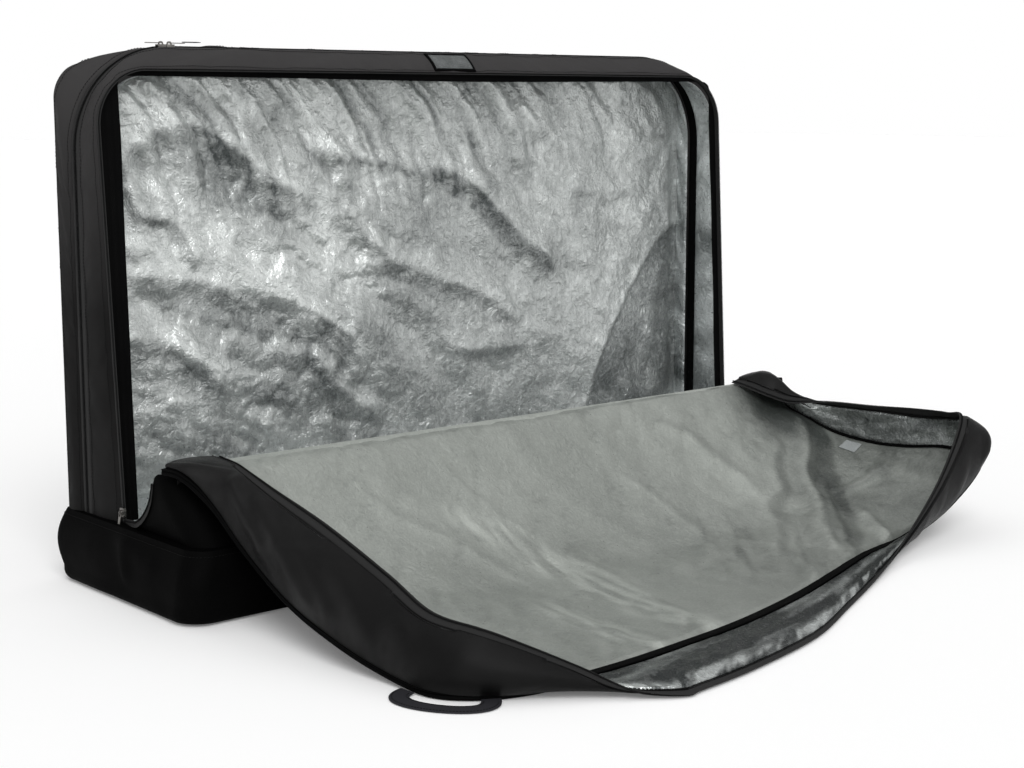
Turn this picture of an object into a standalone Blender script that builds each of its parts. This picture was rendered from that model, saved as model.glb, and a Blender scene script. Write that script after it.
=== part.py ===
# Soft travel bag for a bicycle, standing open: the front flap lies unzipped on the floor.
# Units are metres. +X is the wearer's right along the bag, +Y the back panel, +Z up.
# The origin is the centre of the base, on the floor.

import math

import bmesh
import bpy
import numpy as np
from mathutils import Matrix, Vector

# Whole bag
BAG_WIDTH = 1.30
BAG_DEPTH = 0.355
BAG_HEIGHT = 0.78
BOOT_HEIGHT = 0.105
SEAT_GAP = 0.0003
RUN_GAP = 0.0005

# Cloth, foam and trim thicknesses
SHELL_CLOTH = 0.0012
BODY_FOAM = 0.006
LINING_CLOTH = 0.0008
GUSSET_FOAM = 0.003
TAPE_CLOTH = 0.0008
BINDING_CLOTH = 0.0012
BOARD_SHEET = 0.003

# Boot, the coated tray at the bottom
BOOT_FLARE = 0.016
BOOT_EDGE_RADIUS = 0.024
BOOT_FRONT_RADIUS = 0.034
BOOT_BACK_RADIUS = 0.014
BOOT_FOOT_RADIUS = 0.040
CORNER_STEPS = 3
BOOT_EDGE_STEPS = 3

# Upper shell: how the back seam, the middle zip and the mouth lie from the boot's rim and the ridge
BACK_SPREAD = 0.009
BACK_DROP = 0.006
BACK_RADIUS = 0.075
MIDDLE_SPREAD = 0.003
MIDDLE_RADIUS = 0.150
REAR_GUSSET_DEPTH = 0.0485
MOUTH_FOOT_SETBACK = 0.006
MOUTH_TOP_SETBACK = 0.003
MOUTH_DROP = 0.034
MOUTH_RADIUS = 0.080
FRONT_GUSSET_FOOT_DEPTH = 0.0965
FRONT_GUSSET_TOP_DEPTH = 0.0595
LEG_STEPS = 4
ARC_STEPS = 6
TOP_STEPS = 6

# Zips
MIDDLE_TAPE_WIDTH = 0.024
MOUTH_TAPE_WIDTH = 0.010
FLAP_TAPE_WIDTH = 0.012
MOUTH_BINDING_WIDTH = 0.020
COIL_WIDTH = 0.006
COIL_HEIGHT = 0.0026

# Front wall below the fold of the flap
FRONT_WALL_RISE = 0.101
FOLD_SETBACK = 0.0605
FOLD_CORNER_RADIUS = 0.030
CHEEK_TIP_HEIGHT = 0.006
CHEEK_STEPS = 6
FRONT_STEPS = 8
CHEEK_TAPE_WIDTH = 0.010
# Rise of the cheek's free edge: share of the way to the fold, share of the height
CHEEK_RISE_SHARES = ((0.0, 0.0), (0.30, 0.07), (0.56, 0.20), (0.82, 0.46), (0.94, 0.84), (1.0, 1.0))

# Flap, measured from its fold
FLAP_REACH = 0.573
FLAP_GUSSET_WIDTH = 0.140
FLAP_FREE_PLAY = 0.0003
FLAP_VALLEY_POWER = 7.0
FLAP_EDGE_POWER = 5.0
STEPS_PER_STATION = 2
GUSSET_ROWS = 4
GUSSET_SEAT = 0.0025
TAPE_SEAM = 0.003

# Stations round the flap's seam, from the left end of the fold, round the far edge, to the right end.
# Each row: the seam's place (x as a share of the half width, distance from the fold as a share of
# the reach, height as a share of the fold's height), then where the free edge and the fullest line
# of the gusset lie from the seam (x, y, z as shares of the gusset's width).
SEAM_SHARES = (
    (-1.000, 0.000, 1.000), (-0.985, 0.060, 0.930), (-0.955, 0.120, 0.760), (-0.940, 0.215, 0.530),
    (-0.938, 0.400, 0.265), (-0.930, 0.590, 0.115), (-0.915, 0.740, 0.034), (-0.893, 0.860, 0.022),
    (-0.855, 0.925, 0.022), (-0.790, 0.970, 0.022), (-0.700, 0.992, 0.022), (-0.520, 0.993, 0.022),
    (-0.340, 0.976, 0.022), (-0.130, 0.945, 0.022), (0.110, 0.880, 0.022), (0.330, 0.797, 0.022),
    (0.530, 0.720, 0.022), (0.720, 0.688, 0.050), (0.870, 0.703, 0.240), (0.975, 0.720, 0.560),
    (0.985, 0.600, 0.590), (0.972, 0.470, 0.530), (0.968, 0.350, 0.505), (0.968, 0.230, 0.520),
    (0.972, 0.150, 0.610), (0.978, 0.100, 0.740), (0.988, 0.050, 0.910), (1.000, 0.000, 1.000),
)
FREE_EDGE_SHARES = (
    (0.66, 0.00, 0.19), (0.60, 0.00, 0.29), (0.42, -0.04, 0.52), (0.36, -0.08, 0.80),
    (0.36, -0.20, 0.92), (0.34, -0.32, 0.84), (0.28, -0.30, 0.72), (0.40, -0.22, 0.58),
    (0.48, -0.20, 0.42), (0.50, -0.36, 0.24), (0.38, -0.64, 0.06), (-0.10, -0.89, 0.00),
    (-0.70, -0.95, 0.00), (-0.90, -0.98, 0.00), (-0.85, -0.98, 0.00), (-0.80, -0.85, 0.00),
    (-0.72, -0.72, 0.03), (-0.70, -0.48, 0.16), (-0.52, -0.22, 0.42), (-0.35, 0.12, 0.46),
    (-0.10, -0.02, 0.46), (0.02, -0.10, 0.55), (0.02, -0.06, 0.58), (-0.05, 0.04, 0.58),
    (-0.26, 0.04, 0.55), (-0.48, 0.02, 0.46), (-0.66, 0.00, 0.28), (-0.78, 0.00, 0.19),
)
BELLY_SHARES = (
    (0.00, 0.00, 0.26), (-0.02, 0.00, 0.30), (-0.05, 0.00, 0.38), (-0.06, -0.02, 0.48),
    (-0.09, -0.06, 0.50), (-0.10, -0.10, 0.46), (-0.12, -0.14, 0.42), (-0.10, -0.20, 0.36),
    (-0.06, -0.26, 0.30), (0.06, -0.34, 0.20), (0.12, -0.38, 0.06), (-0.02, -0.46, 0.00),
    (-0.34, -0.48, 0.00), (-0.44, -0.50, 0.00), (-0.42, -0.50, 0.00), (-0.40, -0.44, 0.00),
    (-0.35, -0.38, 0.02), (-0.28, -0.34, 0.12), (-0.10, -0.26, 0.28), (0.12, -0.16, 0.32),
    (0.18, -0.06, 0.30), (0.18, -0.04, 0.32), (0.18, -0.02, 0.34), (0.14, 0.00, 0.34),
    (0.08, 0.00, 0.32), (0.05, 0.00, 0.36), (0.02, 0.00, 0.30), (0.00, 0.00, 0.26),
)
LEFT_CORNER_STATION = 8
RIGHT_CORNER_STATION = 19
# Drop of the panel's middle line below the fold: share of the reach, share of the fold's height
VALLEY_SHARES = (
    (0.0, 1.0), (0.05, 0.905), (0.10, 0.745), (0.15, 0.60), (0.23, 0.42), (0.32, 0.25),
    (0.44, 0.11), (0.60, 0.04), (0.74, 0.022), (0.86, 0.022), (1.0, 0.022),
)

# Zip sliders and their pulls
SLIDER_LENGTH = 0.013
SLIDER_NOSE_WIDTH = 0.0100
SLIDER_SHOULDER_WIDTH = 0.0124
SLIDER_TAIL_WIDTH = 0.0096
SLIDER_PLATE = 0.0012
CROWN_WIDTH = 0.0024
CROWN_LENGTH = 0.0078
CROWN_RISE = 0.0046
CROWN_WIRE = 0.0014
PULL_LENGTH = 0.026
PULL_WIDTH = 0.0070
PULL_THICKNESS = 0.0012
PULL_EYE_LENGTH = 0.0054
PULL_EYE_WIDTH = 0.0036
PULL_RIM = 0.0013
SLIDER_PARKING = 0.009
MAIN_PULL_TILT = 13.0
CORD_PULL_LENGTH = 0.030
CORD_PULL_WIDTH = 0.0050

# Identity window on the top of the front gusset
WINDOW_LENGTH = 0.086
WINDOW_HEIGHT = 0.042
WINDOW_FRAME_BORDER = 0.005
WINDOW_FRAME_SHEET = 0.0014
WINDOW_FILM_SHEET = 0.0005
WINDOW_CARD_SHEET = 0.0004
WINDOW_X = 0.022

# Webbing loop at the far left corner of the flap, and the care label on its lining
HANDLE_WEB_WIDTH = 0.025
HANDLE_WEB_SHEET = 0.002
HANDLE_REACH = 0.068
HANDLE_SEAT = 0.0011
HANDLE_STEPS = 14
HANDLE_START_STATION = 6.5
HANDLE_END_STATION = 8.6
LABEL_SHEET = 0.0005
LABEL_LIFT = 0.0012
LABEL_ROWS = (8, 10)
LABEL_INNER_SHARE = 0.955
LABEL_OUTER_SHARE = 0.993

WALL = SHELL_CLOTH + BODY_FOAM + LINING_CLOTH + 2 * SEAT_GAP
HALF_WALL = WALL / 2
GUSSET_WALL = SHELL_CLOTH + GUSSET_FOAM + LINING_CLOTH + 2 * SEAT_GAP
PIPING_RADIUS = HALF_WALL
PIPING_SIDES = 6
UPPER_FOOT = BOOT_HEIGHT + SEAT_GAP
BAG_BACK = BAG_DEPTH / 2
BAG_FRONT = -BAG_DEPTH / 2
REAR_END = BAG_BACK - SHELL_CLOTH - SEAT_GAP
BOOT_RIM_HALF_WIDTH = BAG_WIDTH / 2 - BOOT_FLARE
BACK_HALF_WIDTH = BOOT_RIM_HALF_WIDTH + BACK_SPREAD
MIDDLE_HALF_WIDTH = BOOT_RIM_HALF_WIDTH + MIDDLE_SPREAD
MOUTH_FOOT_HALF_WIDTH = BOOT_RIM_HALF_WIDTH - MOUTH_FOOT_SETBACK
MOUTH_TOP_HALF_WIDTH = BOOT_RIM_HALF_WIDTH - MOUTH_TOP_SETBACK
BACK_TOP = BAG_HEIGHT - BACK_DROP
MOUTH_TOP = BAG_HEIGHT - MOUTH_DROP
MIDDLE_Y = BAG_BACK - REAR_GUSSET_DEPTH
MOUTH_FOOT_Y = MIDDLE_Y - FRONT_GUSSET_FOOT_DEPTH
MOUTH_TOP_Y = MIDDLE_Y - FRONT_GUSSET_TOP_DEPTH
FOLD_HEIGHT = BOOT_HEIGHT + FRONT_WALL_RISE
FOLD_Y = BAG_FRONT + FOLD_SETBACK
FLAP_HALF_WIDTH = BAG_WIDTH / 2

UPRIGHT = np.array([0.0, 0.0, 1.0])

# Each wall's layers: where the layer starts and ends, measured inwards from the outside
CLOTH_LAYER = (0.0, SHELL_CLOTH)
FOAM_LAYER = (SHELL_CLOTH + SEAT_GAP, SHELL_CLOTH + SEAT_GAP + BODY_FOAM)
LINING_LAYER = (WALL - LINING_CLOTH, WALL)
TAPE_LAYER = (SEAT_GAP, SEAT_GAP + TAPE_CLOTH)
COIL_LAYER = (-COIL_HEIGHT, 0.0)

COLOURS = {
    "shell": (0.022, 0.021, 0.021, 0.62, 0.0),
    "boot": (0.010, 0.010, 0.010, 0.55, 0.0),
    "foam": (0.30, 0.31, 0.32, 0.90, 0.0),
    "back_lining": (0.50, 0.53, 0.53, 0.32, 0.35),
    "flap_lining": (0.27, 0.29, 0.28, 0.42, 0.20),
    "tape": (0.008, 0.008, 0.009, 0.70, 0.0),
    "coil": (0.012, 0.012, 0.013, 0.40, 0.0),
    "metal": (0.62, 0.62, 0.60, 0.28, 1.0),
    "webbing": (0.009, 0.009, 0.010, 0.75, 0.0),
    "board": (0.05, 0.05, 0.05, 0.60, 0.0),
    "film": (0.70, 0.72, 0.72, 0.15, 0.0),
    "card": (0.72, 0.72, 0.70, 0.60, 0.0),
    "label": (0.60, 0.62, 0.62, 0.60, 0.0),
}


def clear_scene():
    for old in list(bpy.data.objects):
        bpy.data.objects.remove(old, do_unlink=True)


def finish(name, colour_key):
    """A material of its own for the named piece."""
    red, green, blue, roughness, metallic = COLOURS[colour_key]
    material = bpy.data.materials.new(name)
    material.use_nodes = True
    shader = material.node_tree.nodes["Principled BSDF"]
    shader.inputs["Base Color"].default_value = (red, green, blue, 1.0)
    shader.inputs["Roughness"].default_value = roughness
    shader.inputs["Metallic"].default_value = metallic
    return material


def place(name, mesh, colour_key, parent=None):
    """Link a mesh as the named piece, shaded smooth across its gentle edges."""
    thing = bpy.data.objects.new(name, mesh)
    bpy.context.scene.collection.objects.link(thing)
    mesh.materials.clear()
    mesh.materials.append(finish(name, colour_key))
    mesh.shade_smooth()
    mesh.set_sharp_from_angle(angle=math.radians(38))
    thing.parent = parent
    return thing


def closed_mesh(name, points, faces):
    """A mesh whose faces are turned to point outwards."""
    mesh = bpy.data.meshes.new(name)
    mesh.from_pydata([tuple(point) for point in points], [], faces)
    work = bmesh.new()
    work.from_mesh(mesh)
    bmesh.ops.recalc_face_normals(work, faces=work.faces)
    work.to_mesh(mesh)
    work.free()
    return mesh


def slab_parts(upper, lower, wrap):
    """Points and triangles of the body between two grids of like size."""
    rows, columns = upper.shape[:2]
    points = np.concatenate([upper.reshape(-1, 3), lower.reshape(-1, 3)])
    offset = rows * columns
    faces = []

    def quad(a, b, c, d):
        faces.append((a, b, c))
        faces.append((a, c, d))

    row_spans = rows if wrap else rows - 1
    for row in range(row_spans):
        after = (row + 1) % rows
        for column in range(columns - 1):
            a = row * columns + column
            b = after * columns + column
            quad(a, b, b + 1, a + 1)
            quad(a + offset, a + 1 + offset, b + 1 + offset, b + offset)
        first, first_after = row * columns, after * columns
        last, last_after = first + columns - 1, first_after + columns - 1
        quad(first, first + offset, first_after + offset, first_after)
        quad(last, last_after, last_after + offset, last + offset)
    if not wrap:
        end = (rows - 1) * columns
        for column in range(columns - 1):
            quad(column, column + 1, column + 1 + offset, column + offset)
            a = end + column
            quad(a, a + offset, a + 1 + offset, a + 1)
    return points, faces


def slab(name, upper, lower, colour_key, wrap=False, parent=None):
    points, faces = slab_parts(upper, lower, wrap)
    return place(name, closed_mesh(name, points, faces), colour_key, parent)


def unit(vectors):
    return vectors / np.linalg.norm(vectors, axis=-1, keepdims=True)


def grid_normals(grid):
    """Unit normals at the points of an open grid."""
    along = np.gradient(grid, axis=0)
    across = np.gradient(grid, axis=1)
    return unit(np.cross(along, across))


def upright_normals(line):
    """Unit normals of a line that lean along it but never sideways."""
    tangent = unit(np.gradient(line, axis=0))
    return unit(UPRIGHT - tangent * tangent[:, 2:])


def evened(normals):
    """Each row's normals averaged with the rows before and after it."""
    padded = np.concatenate([normals[:1], normals, normals[-1:]])
    return unit(padded[:-2] + 2 * padded[1:-1] + padded[2:])


def smooth_path(stations, steps):
    """Points on a Catmull-Rom curve through the stations, a given number of steps apart."""
    stations = np.asarray(stations, dtype=float)
    before = np.vstack([2 * stations[0] - stations[1], stations[:-1]])[:-1]
    start, end = stations[:-1], stations[1:]
    after = np.vstack([stations[1:], 2 * stations[-1] - stations[-2]])[1:]
    rows = []
    for step in range(steps):
        t = step / steps
        rows.append(0.5 * (2 * start + (end - before) * t
                           + (2 * before - 5 * start + 4 * end - after) * t ** 2
                           + (3 * start - before - 3 * end + after) * t ** 3))
    inner = np.stack(rows, axis=1).reshape(-1, stations.shape[1])
    return np.vstack([inner, stations[-1]])


def tube(centre_line, radius, sides):
    """Rings of points round an open centre line, and its end discs as one closed grid pair."""
    tangents = unit(np.gradient(centre_line, axis=0))
    side = unit(np.cross(tangents, UPRIGHT))
    over = np.cross(side, tangents)
    angles = np.arange(sides) * math.tau / sides
    rings = (centre_line[:, None, :]
             + radius * np.cos(angles)[None, :, None] * side[:, None, :]
             + radius * np.sin(angles)[None, :, None] * over[:, None, :])
    return rings


def tube_piece(name, centre_line, radius, sides, colour_key, parent=None):
    rings = tube(centre_line, radius, sides)
    count = len(rings)
    faces = []
    for ring in range(count - 1):
        for corner in range(sides):
            beside = (corner + 1) % sides
            a, b = ring * sides + corner, ring * sides + beside
            faces.append((a, b, b + sides, a + sides))
    faces.append(tuple(range(sides)))
    faces.append(tuple((count - 1) * sides + corner for corner in range(sides)))
    return place(name, closed_mesh(name, rings.reshape(-1, 3), faces), colour_key, parent)


# Outlines of the upper shell


def leg_and_arc(foot_half, top_half, foot_z, top_z, radius):
    """Left half of an arch in the plane of X and Z, with the inward normal at each point."""
    rise = np.array([foot_half - top_half, top_z - foot_z])
    leg = rise / np.linalg.norm(rise)
    tilt = math.atan2(leg[0], leg[1])
    inward = np.array([math.cos(tilt), -math.sin(tilt)])
    corner = np.array([-top_half, top_z])
    tangent = radius * math.tan((math.pi / 2 - tilt) / 2)
    arc_start = corner - leg * tangent
    centre = arc_start + inward * radius
    foot = np.array([-foot_half, foot_z])
    shares = np.arange(LEG_STEPS)[:, None] / LEG_STEPS
    points = [foot + (arc_start - foot) * share for share in shares]
    normals = [inward] * LEG_STEPS
    for angle in np.linspace(tilt, math.pi / 2, ARC_STEPS + 1):
        normal = np.array([math.cos(angle), -math.sin(angle)])
        points.append(centre - radius * normal)
        normals.append(normal)
    return np.array(points), np.array(normals), tilt


def arch(foot_half, top_half, top_z, radius, foot_y, top_y, inset=0.0):
    """The whole arch from the left foot over the top to the right foot, drawn in by the inset."""
    left, normals, tilt = leg_and_arc(foot_half, top_half, UPPER_FOOT, top_z, radius)
    start, stop = left[-1], -left[-1, 0]
    top_x = np.linspace(start[0], stop, TOP_STEPS + 1)[1:-1]
    top = np.column_stack([top_x, np.full_like(top_x, top_z)])
    top_normals = np.tile([0.0, -1.0], (len(top), 1))
    mirror = np.array([-1.0, 1.0])
    outline = np.vstack([left, top, left[::-1] * mirror])
    directions = np.vstack([normals, top_normals, normals[::-1] * mirror])
    moved = outline + directions * inset
    foot_shift = inset / math.cos(tilt)
    moved[0] = outline[0] + np.array([foot_shift, 0.0])
    moved[-1] = outline[-1] - np.array([foot_shift, 0.0])
    height_share = (outline[:, 1] - UPPER_FOOT) / (top_z - UPPER_FOOT)
    depth = foot_y + (top_y - foot_y) * height_share
    return np.column_stack([moved[:, 0], depth, moved[:, 1]])


def back_arch(y, inset=0.0):
    return arch(BACK_HALF_WIDTH, BACK_HALF_WIDTH, BACK_TOP, BACK_RADIUS, y, y, inset)


def middle_arch(y, inset=0.0):
    return arch(MIDDLE_HALF_WIDTH, MIDDLE_HALF_WIDTH, BAG_HEIGHT, MIDDLE_RADIUS, y, y, inset)


def mouth_arch(behind, inset=0.0):
    """The mouth's outline, a given distance behind its front edge."""
    return arch(MOUTH_FOOT_HALF_WIDTH, MOUTH_TOP_HALF_WIDTH, MOUTH_TOP, MOUTH_RADIUS,
                MOUTH_FOOT_Y + behind, MOUTH_TOP_Y + behind, inset)


def arch_band(name, front, back, layer, colour_key):
    """A band of cloth between two arches; each arch is a function of the inset."""
    start, end = layer
    outer = np.stack([front(start), back(start)], axis=1)
    inner = np.stack([front(end), back(end)], axis=1)
    return slab(name, outer, inner, colour_key)


def build_upper_gussets():
    middle_front = MIDDLE_Y - MIDDLE_TAPE_WIDTH / 2
    middle_back = MIDDLE_Y + MIDDLE_TAPE_WIDTH / 2
    layers = (("outer", CLOTH_LAYER, "shell"), ("foam", FOAM_LAYER, "foam"),
              ("lining", LINING_LAYER, "back_lining"))
    for layer_name, layer, colour_key in layers:
        arch_band("rear_gusset_" + layer_name,
                  lambda inset: middle_arch(middle_back + SEAT_GAP, inset),
                  lambda inset: back_arch(REAR_END, inset), layer, colour_key)
        arch_band("front_gusset_" + layer_name,
                  lambda inset: mouth_arch(MOUTH_TAPE_WIDTH + SEAT_GAP, inset),
                  lambda inset: middle_arch(middle_front - SEAT_GAP, inset), layer, colour_key)
    arch_band("middle_zip_tape", lambda inset: middle_arch(middle_front, inset),
              lambda inset: middle_arch(middle_back, inset), TAPE_LAYER, "tape")
    binding_start = TAPE_LAYER[1] + SEAT_GAP
    arch_band("middle_zip_binding", lambda inset: middle_arch(middle_front, inset),
              lambda inset: middle_arch(middle_back, inset),
              (binding_start, binding_start + BINDING_CLOTH), "tape")
    arch_band("middle_zip_coil", lambda inset: middle_arch(MIDDLE_Y - COIL_WIDTH / 2, inset),
              lambda inset: middle_arch(MIDDLE_Y + COIL_WIDTH / 2, inset), COIL_LAYER, "coil")
    arch_band("mouth_zip_tape", lambda inset: mouth_arch(0.0, inset),
              lambda inset: mouth_arch(MOUTH_TAPE_WIDTH, inset), TAPE_LAYER, "tape")
    arch_band("mouth_zip_coil", lambda inset: mouth_arch(0.0, inset),
              lambda inset: mouth_arch(COIL_WIDTH / 2, inset), COIL_LAYER, "coil")
    binding_front = MOUTH_TAPE_WIDTH - BINDING_CLOTH
    arch_band("mouth_binding", lambda inset: mouth_arch(binding_front, inset),
              lambda inset: mouth_arch(MOUTH_TAPE_WIDTH, inset),
              (binding_start, MOUTH_BINDING_WIDTH), "tape")


def rear_arch(y, inset):
    """The rear gusset's outline at a depth between the middle zip and the back seam."""
    near_y, far_y = MIDDLE_Y + MIDDLE_TAPE_WIDTH / 2 + SEAT_GAP, REAR_END
    share = min((y - near_y) / (far_y - near_y), 1.0)
    near, far = middle_arch(y, inset), back_arch(y, inset)
    return near + (far - near) * share


def arch_panel(name, front_y, back_y, inset, colour_key):
    """A flat panel that fills the rear gusset between two depths."""
    rim, far_rim = rear_arch(front_y, inset), rear_arch(back_y, inset)
    count = len(rim)
    faces = [tuple(range(count)), tuple(range(2 * count - 1, count - 1, -1))]
    for index in range(count):
        after = (index + 1) % count
        faces.append((index, after, after + count, index + count))
    return place(name, closed_mesh(name, np.vstack([rim, far_rim]), faces), colour_key)


def build_back_panel():
    inside = WALL + SEAT_GAP
    arch_panel("back_panel_outer", BAG_BACK - SHELL_CLOTH, BAG_BACK, 0.0, "shell")
    foam_back = BAG_BACK - FOAM_LAYER[0]
    arch_panel("back_panel_foam", foam_back - BODY_FOAM, foam_back, inside, "foam")
    arch_panel("back_panel_lining", BAG_BACK - WALL, BAG_BACK - LINING_LAYER[0], inside, "back_lining")


# Boot and base


def plan_outline(height_share, inset):
    """The boot's outline seen from above, from its top (share 1) to its foot (share 0)."""
    radii = {
        "front": BOOT_FOOT_RADIUS + (BOOT_FRONT_RADIUS - BOOT_FOOT_RADIUS) * height_share,
        "back": BOOT_FOOT_RADIUS + (BOOT_BACK_RADIUS - BOOT_FOOT_RADIUS) * height_share,
    }
    corners = ((1, 1, "back"), (-1, 1, "back"), (-1, -1, "front"), (1, -1, "front"))
    wall_share = max(height_share - BOOT_EDGE_RADIUS / BOOT_HEIGHT, 0.0)
    wall_share /= 1.0 - BOOT_EDGE_RADIUS / BOOT_HEIGHT
    half_x = BAG_WIDTH / 2 + (BOOT_RIM_HALF_WIDTH - BAG_WIDTH / 2) * wall_share
    half_y = BAG_DEPTH / 2
    points = []
    for turn, (sign_x, sign_y, key) in enumerate(corners):
        radius = radii[key]
        centre = (sign_x * (half_x - radius), sign_y * (half_y - radius))
        for step in range(CORNER_STEPS + 1):
            angle = (turn + step / CORNER_STEPS) * math.pi / 2
            reach = radius - inset
            points.append((centre[0] + reach * math.cos(angle), centre[1] + reach * math.sin(angle)))
    return np.array(points)


def boot_grid(depth_in):
    """Rings of the boot's wall from its rim down round the bottom edge, a depth inside its skin."""
    rings = []
    flat_start = BOOT_EDGE_RADIUS
    for height in (BOOT_HEIGHT, (BOOT_HEIGHT + flat_start) / 2):
        outline = plan_outline(height / BOOT_HEIGHT, depth_in)
        rings.append(np.column_stack([outline, np.full(len(outline), height)]))
    for step in range(BOOT_EDGE_STEPS + 1):
        angle = step / BOOT_EDGE_STEPS * math.pi / 2
        reach = BOOT_EDGE_RADIUS - depth_in
        height = BOOT_EDGE_RADIUS - reach * math.sin(angle)
        inset = BOOT_EDGE_RADIUS - reach * math.cos(angle)
        outline = plan_outline(flat_start / BOOT_HEIGHT, inset)
        rings.append(np.column_stack([outline, np.full(len(outline), height)]))
    return np.stack(rings, axis=1)


def build_boot():
    outer, inner = boot_grid(CLOTH_LAYER[0]), boot_grid(CLOTH_LAYER[1])
    count, levels = outer.shape[:2]
    points, faces = slab_parts(outer, inner, True)
    offset = count * levels
    ends = {tuple(sorted((row * levels + levels - 1, row * levels + levels - 1 + offset)))
            for row in range(count)}
    rim_indices = {index for pair in ends for index in pair}
    faces = [face for face in faces if not set(face) <= rim_indices]
    faces.append(tuple(row * levels + levels - 1 for row in range(count)))
    faces.append(tuple(row * levels + levels - 1 + offset for row in reversed(range(count))))
    place("boot", closed_mesh("boot", points, faces), "boot")
    slab("boot_wall_foam", boot_grid(FOAM_LAYER[0]), boot_grid(FOAM_LAYER[1]), "foam", wrap=True)
    slab("boot_wall_lining", boot_grid(LINING_LAYER[0]), boot_grid(LINING_LAYER[1]),
         "back_lining", wrap=True)
    inset = BOOT_EDGE_RADIUS + SEAT_GAP
    outline = plan_outline(BOOT_EDGE_RADIUS / BOOT_HEIGHT, inset)
    board_bottom = SHELL_CLOTH + SEAT_GAP
    foam_bottom = board_bottom + BOARD_SHEET + SEAT_GAP
    foam_top = FOAM_LAYER[1]
    sheets = (("base_board", board_bottom, board_bottom + BOARD_SHEET, "board"),
              ("base_foam", foam_bottom, foam_top, "foam"),
              ("base_lining", LINING_LAYER[0], LINING_LAYER[1], "back_lining"))
    for name, low, high, colour_key in sheets:
        count = len(outline)
        points = np.vstack([np.column_stack([outline, np.full(count, height)]) for height in (low, high)])
        faces = [tuple(range(count)), tuple(range(2 * count - 1, count - 1, -1))]
        faces += [(i, (i + 1) % count, (i + 1) % count + count, i + count) for i in range(count)]
        place(name, closed_mesh(name, points, faces), colour_key)


# Front wall and cheeks, below the fold


def front_paths(inset):
    """Foot and head lines of the left cheek, front and right cheek, drawn in by the inset."""
    start_y = MOUTH_FOOT_Y - RUN_GAP
    head_z = FOLD_HEIGHT - HALF_WALL - SEAT_GAP
    foot_half, head_half = BOOT_RIM_HALF_WIDTH, FLAP_HALF_WIDTH
    foot_corner_y = BAG_FRONT + BOOT_FRONT_RADIUS
    head_corner_y = FOLD_Y + FOLD_CORNER_RADIUS
    rise_at = [share for share, _ in CHEEK_RISE_SHARES]
    rise_to = [share for _, share in CHEEK_RISE_SHARES]
    foot, head = [], []
    tip_z = UPPER_FOOT + CHEEK_TIP_HEIGHT
    fold_way = start_y - FOLD_Y
    for step in range(CHEEK_STEPS):
        share = step / CHEEK_STEPS
        foot_x = MOUTH_FOOT_HALF_WIDTH + (foot_half - MOUTH_FOOT_HALF_WIDTH) * share
        foot.append((inset - foot_x, start_y + (foot_corner_y - start_y) * share, UPPER_FOOT))
        head_y = start_y + (head_corner_y - start_y) * share
        rise = np.interp((start_y - head_y) / fold_way, rise_at, rise_to)
        head_x = MOUTH_FOOT_HALF_WIDTH + (head_half - MOUTH_FOOT_HALF_WIDTH) * share
        head.append((inset - head_x, head_y, tip_z + (head_z - tip_z) * rise))
    for step in range(CORNER_STEPS + 1):
        angle = step / CORNER_STEPS * math.pi / 2
        x_turn, y_turn = math.cos(angle), math.sin(angle)
        foot_reach = BOOT_FRONT_RADIUS - inset
        foot.append((-foot_half + BOOT_FRONT_RADIUS - foot_reach * x_turn,
                     foot_corner_y - foot_reach * y_turn, UPPER_FOOT))
        head_reach = FOLD_CORNER_RADIUS - inset
        skin_y = head_corner_y - FOLD_CORNER_RADIUS * y_turn
        rise = np.interp((start_y - skin_y) / fold_way, rise_at, rise_to)
        head.append((-head_half + FOLD_CORNER_RADIUS - head_reach * x_turn,
                     head_corner_y - head_reach * y_turn, tip_z + (head_z - tip_z) * rise))
    foot, head = np.array(foot), np.array(head)
    shares = (np.arange(1, FRONT_STEPS) / FRONT_STEPS)[:, None]
    mirror = np.array([-1.0, 1.0, 1.0])
    foot_mid = foot[-1] + (foot[-1] * mirror - foot[-1]) * shares
    head_mid = head[-1] + (head[-1] * mirror - head[-1]) * shares
    foot = np.vstack([foot, foot_mid, foot[::-1] * mirror])
    head = np.vstack([head, head_mid, head[::-1] * mirror])
    return foot, head


def front_grid(inset):
    foot, head = front_paths(inset)
    return np.stack([foot, head], axis=1)


def build_front_wall():
    layers = (("outer", CLOTH_LAYER, "shell"), ("foam", FOAM_LAYER, "foam"),
              ("lining", LINING_LAYER, "back_lining"))
    for layer_name, (start, end), colour_key in layers:
        slab("front_wall_" + layer_name, front_grid(start), front_grid(end), colour_key)
    _, head = front_paths(-SEAT_GAP)
    _, head_out = front_paths(-SEAT_GAP - TAPE_CLOTH)
    count = CHEEK_STEPS + 1
    mirror = np.array([-1.0, 1.0, 1.0])
    down = np.array([0.0, 0.0, -1.0])
    drop = np.minimum(CHEEK_TAPE_WIDTH, head[:count, 2] - UPPER_FOOT)[:, None] * down
    inner = np.stack([head[:count], head[:count] + drop], axis=1)
    outer = np.stack([head_out[:count], head_out[:count] + drop], axis=1)
    slab("cheek_zip_tape_left", outer, inner, "tape")
    slab("cheek_zip_tape_right", outer * mirror, inner * mirror, "tape")


# Flap


def flap_seam():
    """The seam's line round the flap, at the middle of the panel's thickness."""
    shares = np.array(SEAM_SHARES)
    places = np.column_stack([
        shares[:, 0] * FLAP_HALF_WIDTH,
        FOLD_Y - shares[:, 1] * FLAP_REACH,
        shares[:, 2] * FOLD_HEIGHT,
    ])
    path = smooth_path(places, STEPS_PER_STATION)
    path[:, 2] = np.maximum(path[:, 2], HALF_WALL + FLAP_FREE_PLAY)
    return path


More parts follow.
